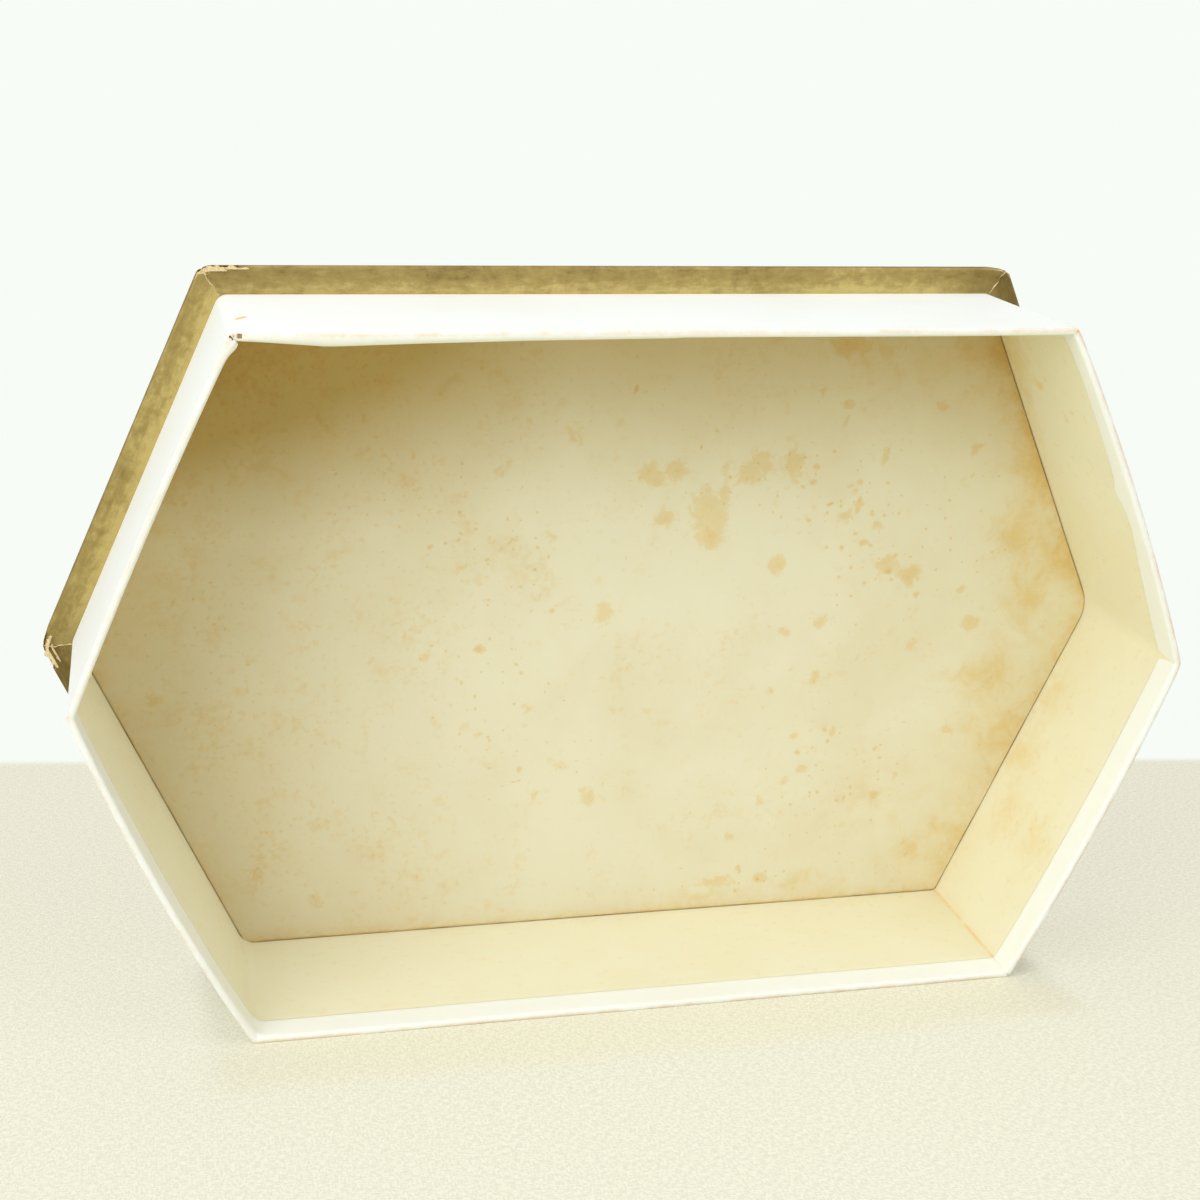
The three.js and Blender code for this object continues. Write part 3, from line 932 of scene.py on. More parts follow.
def build_wall_lining(sizes, finish):
    """The cream paper inside the walls, from the floor to behind the turned-in cover."""
    sheet = Sheet("stain", "seam", "specked")
    stations = walk_round(sizes, sizes.corner_radius, sizes.corner_radius, *LINING_STEPS)
    reach = sizes.wall_height - LINING_BELOW_RIM - sizes.lining_foot
    shares = [0.0, 0.01] + [step / LINING_ROWS for step in range(1, LINING_ROWS + 1)]
    columns = []
    for station in stations:
        column = []
        seam = 0.0
        if CORNERS[station.nearest] == "bottom_right":
            seam = 0.45 * bell(station.away, 0.8 * MM) + 0.15 * bell(station.away, 3 * MM)
        for share in shares:
            height = sizes.lining_foot + reach * share
            swell = LINING_SWELL * (1 + noise.noise(Vector((station.run / (22 * MM), share * 2.3, 8.8))))
            inset = sizes.lining_inset + swell * math.sin(math.pi * share)
            rounding = LINING_ROUNDING.get(CORNERS[station.nearest], 0.0) * (1 - 0.7 * share)
            if station.corner < 0:
                rounding *= 1 - eased(min(station.along, 1 - station.along), 0.0, 0.3)
            flat = edge_point(sizes, station, inset, sizes.corner_radius + rounding)
            flat += station.out * wall_bow(sizes, station, height)
            stain = lining_stain(sizes, station, height)
            specked = 0.5 if SIDES[station.side] == "upper_right" else 0.2
            column.append(sheet.point((flat.x, flat.y, height), stain=stain, seam=seam, specked=specked))
        columns.append(column)
    sheet.join(columns, closed=True)
    sheet.piece("wall_lining_sheet", sizes, finish, "cream_paper", sizes.lining_paper, ["wall_lining_paper"])


# Clear age stains on the floor card: place along, place up, half width and half height in millimetres,
# strength.
CARD_STAINS = (
    (8, 45, 3.2, 3.0, 0.85), (11, 42, 2.4, 2.2, 0.85), (17, 45, 3.4, 3.4, 0.85), (14, 31, 3.2, 2.7, 0.85),
    (27, 33, 6.2, 7.2, 0.85), (32, 39, 1.6, 2.4, 0.6), (28, 25, 3.8, 3.0, 0.85), (31, 46, 1.6, 2.6, 0.6),
    (37, 43, 3.0, 3.0, 0.65), (42, 46, 4.0, 4.8, 0.75), (52, 46, 4.0, 5.4, 0.8), (48, 16, 3.3, 2.9, 1.0),
    (82, 15, 3.0, 2.9, 1.0), (90, 12, 3.5, 3.3, 1.1), (79, 48, 1.8, 3.2, 0.85), (68, 30, 2.0, 1.8, 0.9),
    (72, 33, 2.0, 1.6, 0.8), (78, 27, 1.8, 1.6, 0.85), (71, 38, 3.4, 2.4, 0.5), (-3, 4, 3.0, 5.0, 0.75),
    (-39, -5, 1.6, 1.1, 1.9), (66, 63, 1.9, 1.7, 0.8), (59, 67, 1.7, 1.7, 0.75), (67, 58, 1.5, 1.4, 0.7),
    (95, 62, 2.1, 1.7, 0.8), (107, 50, 1.9, 1.6, 0.8), (106, 7, 2.2, 1.8, 0.85), (110, -4, 3.2, 2.6, 0.9),
    (92, -10, 2.6, 2.5, 0.75), (106, -38, 2.4, 1.9, 0.8), (66, 80, 7.0, 3.4, 0.95),
    (45, 81, 2.6, 2.2, 0.6), (-103, -71, 3.4, 4.2, 0.6), (-86, -80, 1.8, 4.0, 0.6),
    (-129, -16, 3.0, 3.0, 0.65), (63, -1, 2.4, 2.2, 0.8), (51, -5, 1.7, 1.6, 0.75),
    (62, -19, 2.0, 2.2, 0.85), (48, -22, 1.6, 1.5, 0.7), (57, -37, 1.7, 1.6, 0.7),
    (69, -37, 1.8, 1.6, 0.8), (60, -48, 2.0, 1.9, 0.75), (54, -52, 1.5, 1.7, 0.65),
    (83, -58, 1.8, 1.8, 0.85), (90, -53, 1.6, 1.5, 0.7), (47, -58, 1.7, 1.6, 0.65),
    (38, -69, 1.8, 2.0, 0.7), (49, -84, 1.9, 1.7, 0.8), (35, -84, 7.0, 2.6, 0.7),
    (96, -79, 2.0, 1.8, 0.65), (-13, 56, 3.6, 4.8, 0.55), (-19, 27, 2.0, 1.6, 0.6),
    (-29, 26, 2.4, 1.8, 0.55), (-36, 26, 1.6, 1.4, 0.55), (-44, 19, 3.4, 2.6, 0.5),
    (-54, -7, 2.2, 2.2, 0.6), (-39, -31, 1.8, 1.5, 0.6), (-25, -24, 2.2, 1.6, 0.5),
    (-6, -53, 3.8, 3.6, 0.75), (-15, -43, 3.6, 2.0, 0.5), (-23, -52, 2.2, 1.8, 0.6),
    (1, -26, 2.2, 1.5, 0.5), (-34, 46, 1.7, 2.6, 0.5), (4.5, 67.8, 0.8, 0.8, 2.2),
)
# Broad faint stains, where damp has drifted into the card: the same five values.
CARD_DRIFTS = (
    (126, 0, 9, 8, 0.5), (121, -20, 10, 9, 0.42), (112, -22, 8, 8, 0.42), (119, -38, 8, 8, 0.5),
    (108, -70, 6, 5, 0.5), (98, -78, 8, 5, 0.45), (119, 24, 6, 6, 0.55), (127, 34, 6, 12, 0.45),
    (122, 48, 6, 10, 0.3), (28, -87, 9, 2.5, 0.4), (60, -86, 9, 3, 0.4), (-103, -72, 7, 7, 0.35),
    (-10, -52, 8, 6, 0.25), (78, 72, 34, 16, 0.28), (104, 79, 8, 6, 0.35), (-30, 20, 20, 12, 0.2),
    (-88, 48, 16, 12, 0.25), (-120, 10, 14, 18, 0.25), (-128, -20, 8, 8, 0.25), (-98, 82, 22, 12, 0.4),
    (124, 15, 12, 10, 0.4), (134, 8, 6, 9, 0.4), (83, -58, 18, 14, 0.3),
)
# Where specks lie thick on the card: the same five values.
CARD_SPECKS = (
    (35, 42, 26, 14, 0.55), (70, 32, 16, 22, 0.6), (85, 10, 24, 18, 0.45), (70, -48, 28, 24, 0.55),
    (-30, 22, 24, 24, 0.45), (-35, -16, 26, 22, 0.42), (110, 40, 14, 30, 0.4), (-120, 0, 24, 40, 0.35),
    (-20, -46, 22, 16, 0.35), (40, -82, 40, 8, 0.45), (-70, 40, 30, 30, 0.3),
)
# How strongly and how far the tan drifts in from each edge of the card.
EDGE_DRIFT = {"upper_right": (0.5, 6 * MM), "top": (0.3, 6 * MM), "upper_left": (0.5, 7 * MM),
              "lower_left": (0.35, 3.5 * MM), "bottom": (0.42, 3.5 * MM), "lower_right": (0.42, 4.5 * MM)}
# How strongly and how far each cut edge of the card is darkened: partly browned edge, partly painted shade
# where the card meets the walls.
EDGE_BROWN_AND_SHADE = {"upper_right": (0.75, 6.5 * MM), "top": (0.3, 6 * MM), "upper_left": (0.4, 7 * MM),
              "lower_left": (0.3, 2 * MM), "bottom": (0.8, 1.9 * MM), "lower_right": (0.62, 11 * MM)}


def patches(places, x, y):
    """Summed strength of listed soft patches at a place on the card."""
    total = 0.0
    for along, up, half_width, half_height, strength in places:
        sideways = (x / MM - along) / half_width
        upwards = (y / MM - up) / half_height
        apart = sideways * sideways + upwards * upwards
        if apart < 9:
            total += strength * math.exp(-apart * 0.9)
    return total


def shaken(x, y, wave, amount):
    """A place on the card pushed about by noise, so that patches lose their round outline."""
    place = Vector((x / wave, y / wave, 0.3))
    return x + amount * noise.noise(place), y + amount * noise.noise(place + Vector((17.0, 5.0, 0.0)))


def edge_distances(corners, x, y):
    """How far a place on the card is from each of its edges, in the order of the sides."""
    distances = []
    for start, end in zip(corners, corners[1:] + corners[:1]):
        step = (end - start).normalized()
        distances.append(abs(step.x * (y - start.y) - step.y * (x - start.x)))
    return distances


def from_edges(table, distances):
    """Strongest of the marks that come in from the edges of the card, at distances from them."""
    strongest = 0.0
    for side, apart in zip(SIDES, distances):
        strength, reach = table[side]
        strongest = max(strongest, strength * math.exp(-apart / reach))
    return strongest


def card_tan_and_shade(x, y, to_edge):
    """How far the card is darkened: near its edges, and most in its upper left corner, partly real tan and
    partly painted shade from the top and left walls.
    """
    upper = eased(y, 28 * MM, 92 * MM)
    left = eased(-x, 15 * MM, 140 * MM)
    tan = 0.1 * math.exp(-to_edge / (28 * MM)) + 0.6 * upper + 0.38 * left + 0.65 * math.sqrt(upper * left)
    return min(tan, 1.0)


# How much closer to the lining the card's cut edge comes than the plain outline of its solid.
CARD_CLOSER = 0.52 * MM
# How many rows of faces the card has on each side of its middle, and how many faces are in a row.
CARD_HALF_ROWS = 124
CARD_COLUMNS = 400
# How high the card is cockled, how far its edge lifts, and how rough and how nicked its cut edge is.
CARD_COCKLE = 0.16 * MM
CARD_LIFT = 0.3 * MM
CARD_ROUGH_CUT = 0.07 * MM
CARD_NICK = 0.2 * MM


def rounded_tip(tip, slope, radius, height):
    """Half width of the card near a tip, where the lining rounds the corner."""
    stretch = math.hypot(1, slope)
    centre = tip - radius * stretch
    if abs(height) >= radius * slope / stretch:
        return tip - slope * abs(height)
    return centre + math.sqrt(radius * radius - height * height)


def build_floor_card(sizes, finish):
    """The card on the floor, slightly cockled, with a rough-cut edge."""
    sheet = Sheet("stain", "drift", "tanned", "specked", "freckled", "edged")
    corners = sharp_corners(sizes, sizes.card_inset - CARD_CLOSER)
    tip = corners[0].x
    span = corners[1].y
    slope = (tip - corners[1].x) / span
    tip_rounding = {1: LINING_ROUNDING["right"], -1: LINING_ROUNDING["left"]}
    grid = []
    for row in range(-CARD_HALF_ROWS, CARD_HALF_ROWS + 1):
        height = span * row / CARD_HALF_ROWS
        half_width = tip - slope * abs(height)
        line = []
        for column in range(CARD_COLUMNS + 1):
            share = 2 * column / CARD_COLUMNS - 1
            hand = 1 if share > 0 else -1
            x = min(half_width, rounded_tip(tip, slope, tip_rounding[hand], height)) * share
            y = height
            to_edge = min(edge_distances(corners, x, y))
            if abs(row) == CARD_HALF_ROWS or abs(share) == 1:
                pull = CARD_ROUGH_CUT * (1 + noise.noise(Vector((x, y, 0.2)) * 330))
                pull += CARD_NICK * max(noise.noise(Vector((x, y, 0.6)) * 90), 0)
                inward = Vector((-x, -y)).normalized() * pull
                x += inward.x
                y += inward.y
            cockle = CARD_COCKLE * (1 + noise.noise(Vector((x, y, 0.5)) * 28))
            lift = CARD_LIFT * max(noise.noise(Vector((x, y, 0.9)) * 40), 0) * math.exp(-to_edge / (5 * MM))
            rise = sizes.card_top + cockle * (1 - math.exp(-to_edge / (9 * MM))) + lift
            stain = min(patches(CARD_STAINS, *shaken(x, y, 4 * MM, 1.5 * MM)), 1.3)
            drift = patches(CARD_DRIFTS, *shaken(x, y, 12 * MM, 6 * MM))
            distances = edge_distances(corners, x, y)
            drift += from_edges(EDGE_DRIFT, distances)
            edged = from_edges(EDGE_BROWN_AND_SHADE, distances)
            tanned = card_tan_and_shade(x, y, to_edge)
            specked = 0.14 + patches(CARD_SPECKS, x, y)
            freckled = 0.3 + 0.4 * eased(-x, -20 * MM, 110 * MM) + 0.2 * eased(y, 20 * MM, 80 * MM)
            line.append(sheet.point((x, y, rise), stain=stain, drift=drift, tanned=tanned, specked=specked,
                                    freckled=freckled, edged=edged))
        grid.append(line)
    sheet.join(grid)
    sheet.piece("floor_card_sheet", sizes, finish, "aged_card", sizes.card, ["floor_card"])


# Wear of the plate's corners: how far it reaches before and after the corner, and how deep it goes, in
# millimetres.
PLATE_WEAR = {"top_left": (2.8, 1.8, 0.8), "left": (6.0, 2.0, 0.6), "top_right": (1.6, 6.0, 0.8)}
# Where the gold paper is torn off at the plate's corners: the same three values.
PLATE_TEARS = {"top_left": (11.0, 1.6, 1.7), "left": (3.6, 7.2, 2.6), "top_right": (1.4, 1.4, 0.7)}
# How far round the plate's edge towards its back the tears go.
TEAR_END = -1.8 * MM
# How deep the dents in the flaps are.
FLAP_DENT = 0.05 * MM
# How far each flap of the gold paper is darkened all over, as painted dark reflection.
FLAP_DARK_REFLECTION = {"upper_right": 0.9, "top": 0.0, "upper_left": 0.0, "lower_left": 1.0, "bottom": 0.3,
                "lower_right": 0.5}
# How far the back of the plate has tarnished, and the mark of the rows that lie on it.
BACK_TARNISH = 0.7
BACK_ACROSS = -3 * MM
# How much brighter than the rest a flap of the gold paper is painted, as a painted reflection.
FLAP_PAINTED_SHINE = {"upper_left": 0.4}


def plate_wear(corner, away):
    """How far the plate's edge is worn back at a distance from one of its corners."""
    wear = PLATE_WEAR.get(CORNERS[corner])
    if wear is None:
        return 0.0
    before, after, depth = wear
    reach = before if away < 0 else after
    return depth * MM * max(1 - abs(away) / (reach * MM), 0.0) ** 1.3


def plate_torn(corner, away, depth):
    """Whether the gold paper is torn off the plate at a place near one of its corners."""
    tear = PLATE_TEARS.get(CORNERS[corner])
    if tear is None:
        return False
    before, after, deepest = tear
    ragged = 0.5 + 0.9 * (0.5 + 0.5 * noise.noise(Vector((away, depth, 0.02 * corner)) * 900))
    fade = 1 - abs(away) / ((before if away < 0 else after) * MM)
    return fade > 0 and TEAR_END < depth < deepest * MM * fade * ragged


# The plate's board inside its paper: how far its edge and its front lie in, and its thickness.
BOARD_EDGE = 0.58 * MM
BOARD_FRONT = 0.28 * MM
BOARD_THICKNESS = 2.0 * MM


def build_plate_board(sizes, finish):
    """The plate's chipboard, with the same worn corners as the paper round it."""
    sheet = Sheet()
    centre = sizes.plate_radius - sizes.plate_overhang
    edge = BOARD_EDGE - sizes.plate_overhang
    back = -BOARD_FRONT - BOARD_THICKNESS
    middle = sizes.side_span / 2
    section = [(inset, -BOARD_FRONT) for inset in (middle, 40 * MM, 0.0, edge + 3 * MM, edge)]
    section += [(edge, -BOARD_FRONT - BOARD_THICKNESS / 2), (edge, back)]
    section += [(inset, back) for inset in (edge + 3 * MM, 0.0, 40 * MM, middle)]
    columns = []
    for station in walk_round(sizes, sizes.plate_radius, centre, *PLATE_BOARD_STEPS):
        worn = plate_wear(station.nearest, station.away)
        column = []
        for inset, height in section:
            pull = worn * (1 - eased(inset - edge, 0.0, 3 * MM))
            flat = edge_point(sizes, station, inset + pull, centre)
            column.append(sheet.point((flat.x, flat.y, height)))
        columns.append(column)
    sheet.join(columns, closed=True)
    sheet.piece("plate_board", sizes, finish, "greyboard", 0.0, ["base_board"])


def plate_rows(sizes):
    """The gold paper's section: from its cut edge on the front, over the plate's edge and across the back."""
    out = -sizes.plate_overhang
    fold = sizes.plate_fold
    thick = sizes.plate_thickness
    quarter = math.pi / 2
    inner = out + sizes.plate_turn_in
    front = (2, 0.6, 0, -0.6, -1.4, -2.3, -3.2, -4, -4.7, -5.2, -5.6, -6, -6.3)
    rows = []
    for inset in (inner, inner - 3 * MM, *(place * MM for place in front), out + fold):
        rows.append(Row(inset, 0.0, inset - out))
    arc = (0.25, 0.5, 0.75, 1.0)
    for step in arc:
        turn = quarter * step
        inset = out + fold * (1 - math.sin(turn))
        rows.append(Row(inset, -fold * (1 - math.cos(turn)), -0.3 * MM * step))
    for share in (0.33, 0.66, 1.0):
        rows.append(Row(out, -fold - (thick - 2 * fold) * share, -0.3 * MM - 1.2 * MM * share))
    for step in arc:
        turn = quarter * step
        inset = out + fold * (1 - math.cos(turn))
        rows.append(Row(inset, fold - thick - fold * math.sin(turn), -2 * MM))
    for inset in (*(place * MM for place in (-5, -2, 4, 14, 28, 44, 60, 76)), sizes.side_span / 2):
        rows.append(Row(inset, -thick, BACK_ACROSS))
    return rows


def build_plate_cover(sizes, finish):
    """The gold paper round the plate, as one sheet with mitred corners."""
    sheet = Sheet("edge_wear", "by_wall", "run", "across", "tarnished")
    centre = sizes.plate_radius - sizes.plate_overhang
    stations = walk_round(sizes, sizes.plate_radius, centre, *PLATE_COVER_STEPS)
    rows = plate_rows(sizes)
    columns = []
    for station in stations:
        side = SIDES[station.side]
        corner = CORNERS[station.nearest]
        at_corner = bell(station.away, 3 * MM)
        worn = plate_wear(station.nearest, station.away)
        tarnished = FLAP_DARK_REFLECTION[side]
        # Painted dark reflection at the left and top right tips, and towards the top left tip along the top
        # side.
        if corner in ("left", "top_right"):
            tarnished = max(tarnished, 0.7 * bell(station.away, 11 * MM))
        if corner == "top_left" and station.away < 0:
            tarnished = max(tarnished, 0.35 * bell(station.away, 40 * MM))
        column = []
        for row in rows:
            pull = worn * (1 - eased(row.inset + sizes.plate_overhang, 0.0, 4 * MM))
            flat = edge_point(sizes, station, row.inset + pull, centre)
            on_front = row.height == 0.0
            dent = 0.0
            if on_front and row.inset < 0:
                dent = min(FLAP_DENT * ripple(station.run, row.inset * 900, 6 * MM), 0)
            wear = bell(row.across - 0.2 * MM, 0.6 * MM) * (0.34 + 0.55 * at_corner)
            at_edge = 1 - eased(row.across, -0.3 * MM, 0.5 * MM)
            # Painted reflection of the white wall, brightening the gold near the wall's foot.
            by_wall = eased(row.inset, -5 * MM, 0.0) if on_front else 0.0
            # The back has one even tone of tarnish: each flap's painted reflection and painted dark reflection
            # fade out just behind the edge, and painted shade darkens the plate's rounded edge.
            kept = 1 - eased(row.inset, -6 * MM, 4 * MM) if row.across == BACK_ACROSS else 1.0
            by_wall += kept * FLAP_PAINTED_SHINE.get(side, 0.0)
            aged = BACK_TARNISH + kept * (max(tarnished, 0.8 * at_edge) - BACK_TARNISH)
            column.append(sheet.point((flat.x, flat.y, row.height + dent), edge_wear=wear, by_wall=by_wall,
                                      run=station.run, across=row.inset, tarnished=aged))
        columns.append(column)
    acrosses = [[row.across for row in rows]] * len(stations)
    sheet.join(columns, closed=True, torn=torn_faces(stations, acrosses, plate_torn))
    sheet.piece("plate_cover_sheet", sizes, finish, "gold_paper", sizes.paper, ["base_cover_paper"])


def torn_paper_finish(colours):
    """The pale fibrous core of paper that shows where it is torn or cut, with painted shadow in the gaps under
    it.
    """
    make = Finish("torn_paper_core")
    fibres = make.cloud(0.5 * MM, 5, 0.75, place=make.stretched(1, 0.4, 1))
    tone = make.blend(make.step(fibres, 0.4, 0.65, 0.2, 0.9), colours.cream_aged, colours.board)
    tone = make.blend(make.step(make.cloud(1.2 * MM, 4, 0.7), 0.6, 0.76, 0.0, 0.5), tone, colours.nick)
    # Painted shadow in the gaps under the lifted paper.
    tone = make.blend(make.mark("gap"), tone, colours.gap)
    return make.done(tone, 0.9, make.relief(fibres, 0.1 * MM), specular=0.2)


# The crooked cut where the gold flaps meet: how far it sways and wavers, its half width, height and steps.
MITRE_SWAY = 0.8 * MM
MITRE_WAVER = 0.22 * MM
MITRE_HALF_WIDTH = 0.2 * MM
MITRE_HEIGHT = 0.11 * MM
MITRE_FOOT = 0.01 * MM
MITRE_STEPS = 24


def add_mitre_edge(sheet, sizes, corner):
    """The crooked cut edge where the gold flaps meet, from the wall's foot to the plate's corner."""
    start = sharp_corners(sizes, 0.4 * MM)[corner]
    end = sharp_corners(sizes, 0.9 * MM - sizes.plate_overhang)[corner]
    ahead = (end - start).normalized()
    aside = Vector((-ahead.y, ahead.x))
    lines = []
    for step in range(MITRE_STEPS + 1):
        share = step / MITRE_STEPS
        sway = MITRE_SWAY * noise.noise(Vector((share * 3.1, corner * 2.7, 0.4)))
        sway += MITRE_WAVER * noise.noise(Vector((share * 9, corner * 2.7, 1.4)))
        half = MITRE_HALF_WIDTH * max(0.7 + 1.5 * noise.noise(Vector((share * 6, corner * 1.9, 2.4))), 0.12)
        middle = start.lerp(end, share) + aside * sway
        line = []
        for offset, height in ((-half, MITRE_FOOT), (0.0, MITRE_HEIGHT), (half * 0.6, MITRE_FOOT)):
            flat = middle + aside * offset
            line.append(sheet.point((flat.x, flat.y, height), gap=0.0))
        lines.append(line)
    sheet.join(lines, flipped=True)


class Scrap(NamedTuple):
    """A flake on the plate's edge, in millimetres: where it starts along its side, its length and width,
    how far in it is stuck and how far it lifts. A gap is a dark flake that lies below the others: painted
    shadow under the lifted paper.
    """

    side: str
    start: float
    reach: float
    width: float
    inset: float
    lift: float
    gap: float


# Flakes, and dark flakes of painted shadow in the gaps, by the torn corners of the gold paper.
SCRAPS = (
    Scrap("top", 212.0, 12.4, 1.0, 0.5, 0.3, 0.0),
    Scrap("top", 217.6, 6.6, 1.5, 1.0, 0.2, 0.0),
    Scrap("top", 215.8, 4.6, 0.5, 1.45, 0.0, 1.0),
    Scrap("upper_left", -0.4, 2.2, 0.9, 0.6, 0.2, 0.0),
    Scrap("upper_left", 107.0, 3.7, 1.7, 1.35, 0.1, 0.0),
    Scrap("upper_left", 108.2, 2.2, 0.6, 1.9, 0.0, 1.0),
    Scrap("lower_left", -0.2, 7.6, 1.6, 1.2, 0.1, 0.0),
    Scrap("lower_left", 0.6, 3.8, 0.8, 1.9, 0.0, 1.0),
    Scrap("lower_left", 0.8, 5.4, 0.75, 2.5, 0.4, 0.0),
)
# Length of a flake's faces in millimetres, and how many lie across it.
SCRAP_STEP = 0.16
SCRAP_ROWS = 5
# Thickness of the torn paper.
TORN_PAPER = 0.09 * MM


def add_scrap(sheet, sizes, scrap, seed):
    """One ragged flake, stuck along its inner edge and curling off at its outer edge."""
    side = SIDES.index(scrap.side)
    corners = sharp_corners(sizes, -sizes.plate_overhang + 0.35 * MM)
    first = corners[side]
    following = next_corner(side)
    side_reach = (corners[following] - first).length
    ahead = (corners[following] - first).normalized()
    out = side_outwards(sizes)[side]
    # Dark gap flakes lie lower, as painted shadow under the lifted paper.
    level = -0.12 * MM if scrap.gap else 0.06 * MM
    columns = int(scrap.reach / SCRAP_STEP)
    grid = []
    for column in range(columns + 1):
        share = column / columns
        along = (scrap.start + scrap.reach * share) * MM
        if along < side_reach / 2:
            worn = plate_wear(side, along)
        else:
            worn = plate_wear(following, along - side_reach)
        taper = math.sin(math.pi * (0.06 + 0.88 * share)) ** 0.6
        ragged = 0.65 + 0.8 * noise.noise(Vector((along * 520, seed * 3.3, 0.1)))
        ragged += 0.45 * noise.noise(Vector((along * 1500, seed * 5.1, 0.7)))
        line = []
        for row in range(SCRAP_ROWS + 1):
            across = row / SCRAP_ROWS
            reach = scrap.width * MM * taper * max(ragged, 0.15) * across
            flat = first + ahead * along + out * (reach - scrap.inset * MM - worn)
            curl = scrap.lift * MM * across ** 2 * (0.6 + 0.6 * noise.noise(Vector((along * 400, seed, 0.9))))
            line.append(sheet.point((flat.x, flat.y, level + curl), gap=scrap.gap))
        grid.append(line)
    sheet.join(grid)


def build_torn_paper(sizes, finish):
    """Cut mitre edges on the plate's front and flakes at its torn corners."""
    sheet = Sheet("gap")
    for corner in range(len(CORNERS)):
        add_mitre_edge(sheet, sizes, corner)
    for seed, scrap in enumerate(SCRAPS):
        add_scrap(sheet, sizes, scrap, seed)
    sheet.piece("torn_paper_edges", sizes, finish, "gold_paper", TORN_PAPER)


class Reading:
    """Gives an operator the box's own settings."""

    def read(self, context):
        """Keeps the sizes, colours and stage settings of the scene."""
        self.sizes = context.scene.chocolate_box_sizes
        self.colours = context.scene.chocolate_box_colours
        self.stage = context.scene.chocolate_box_stage


class OnePiece(Reading):
    """An operator that builds one piece, with the finish that belongs to it."""

    def execute(self, context):
        self.read(context)
        self.build(self.sizes, self.finish(self.colours))
        return {"FINISHED"}


class BOX_OT_boards(Reading, bpy.types.Operator):
    """Give the chipboards and the corner tapes their finish"""

    bl_idname = "chocolate_box.boards"
    bl_label = "Boards and corner tapes"

    def execute(self, context):
        self.read(context)
        board = board_finish(self.colours, "greyboard", self.colours.board, self.colours.board_dark)
        tape = board_finish(self.colours, "corner_tape", self.colours.stay, self.colours.board)
        build_plate_board(self.sizes, board)
        for side in WALL_BOW:
            build_bowed_board(self.sizes, side, board)
        for names, finish in ((BOARD_NODES, board), (STAY_NODES, tape)):
            for name in names:
                solid = frame["nodes"][name]
                solid.data.materials.clear()
                solid.data.materials.append(finish)
        return {"FINISHED"}


class BOX_OT_plate_cover(OnePiece, bpy.types.Operator):
    """Lay the gold paper round the plate"""

    bl_idname = "chocolate_box.plate_cover"
    bl_label = "Gold paper of the plate"
    build = staticmethod(build_plate_cover)
    finish = staticmethod(gold_paper_finish)


class BOX_OT_torn_paper(OnePiece, bpy.types.Operator):
    """Add the cut and torn edges of the gold paper"""

    bl_idname = "chocolate_box.torn_paper"
    bl_label = "Torn paper edges"
    build = staticmethod(build_torn_paper)
    finish = staticmethod(torn_paper_finish)


class BOX_OT_wall_cover(OnePiece, bpy.types.Operator):
    """Wrap the white paper round the walls and over the rim"""

    bl_idname = "chocolate_box.wall_cover"
    bl_label = "White paper of the walls"
    build = staticmethod(build_wall_cover)
    finish = staticmethod(white_cover_finish)


class BOX_OT_wall_lining(OnePiece, bpy.types.Operator):
    """Line the walls with cream paper"""

    bl_idname = "chocolate_box.wall_lining"
    bl_label = "Cream lining of the walls"
    build = staticmethod(build_wall_lining)
    finish = staticmethod(cream_lining_finish)


class BOX_OT_floor_card(OnePiece, bpy.types.Operator):
    """Lay the stained card on the floor"""

    bl_idname = "chocolate_box.floor_card"
    bl_label = "Floor card"
    build = staticmethod(build_floor_card)
    finish = staticmethod(floor_card_finish)


# Where the camera stands and looks, fitted to the outline of the tray.
CAMERA_PLACE = (-0.12931, -0.52460, 0.21064)
CAMERA_YAW = math.radians(14.162)
CAMERA_TILT = math.radians(12.553)
CAMERA_ROLL = math.radians(0.382)
# How far the picture sits aside of the lens axis, as shares of its width.
CAMERA_SHIFT = (-0.0374, 0.0636)
# Half the length and depth of the tray's foot on the floor.
FOOT_HALF_LENGTH = 112 * MM
FOOT_HALF_DEPTH = 41 * MM
# Which way the far border of the floor faces.
FLOOR_TURN = math.radians(12.11)
# Sensor width in millimetres, and the nearest that the camera sees.
CAMERA_SENSOR = 36.0
CAMERA_NEAREST = 10 * MM
# Directions of the soft lamps from the place they face, their distance and their width in metres.
LAMP_DIRECTIONS = {
    "key": (-0.65, -0.58, 0.5),
    "front": (-0.1, -0.6, 0.8),
    "fill": (0.5, -0.6, 0.6),
    "overhead": (-0.1, 0.1, 1.0),
}
LAMP_AIM = (0.0, 0.0, 0.1)
LAMP_DISTANCE = 1.2
LAMP_WIDTH = 1.0
# Half the width of the floor, and half the width of the soft border where it meets the backdrop.
FLOOR_HALF_WIDTH = 4.0
FLOOR_BORDER = 6 * MM
# Size of the floor's threads, how far they are drawn out, and how dark the painted shade in the gaps between
# them is.
THREAD_SIZE = 0.55 * MM
THREAD_STRETCH = 0.3
THREAD_GAP_SHADE = 0.87
# How far from the tray the floor's shadow is deeper, and how much of the floor's lift is left there.
SHADOW_REACH = 14 * MM
SHADOW_LIFT = 0.3


def seen_share(nodes, links):
    """One where the eye, a reflection or a clear material looks at the background, and nought for light."""
    path = nodes.new("ShaderNodeLightPath")
    first = nodes.new("ShaderNodeMath")
    first.operation = "MAXIMUM"
    links.new(path.outputs["Is Camera Ray"], first.inputs[0])
    links.new(path.outputs["Is Glossy Ray"], first.inputs[1])
    second = nodes.new("ShaderNodeMath")
    second.operation = "MAXIMUM"
    links.new(first.outputs[0], second.inputs[0])
    links.new(path.outputs["Is Transmission Ray"], second.inputs[1])
    return second.outputs[0]


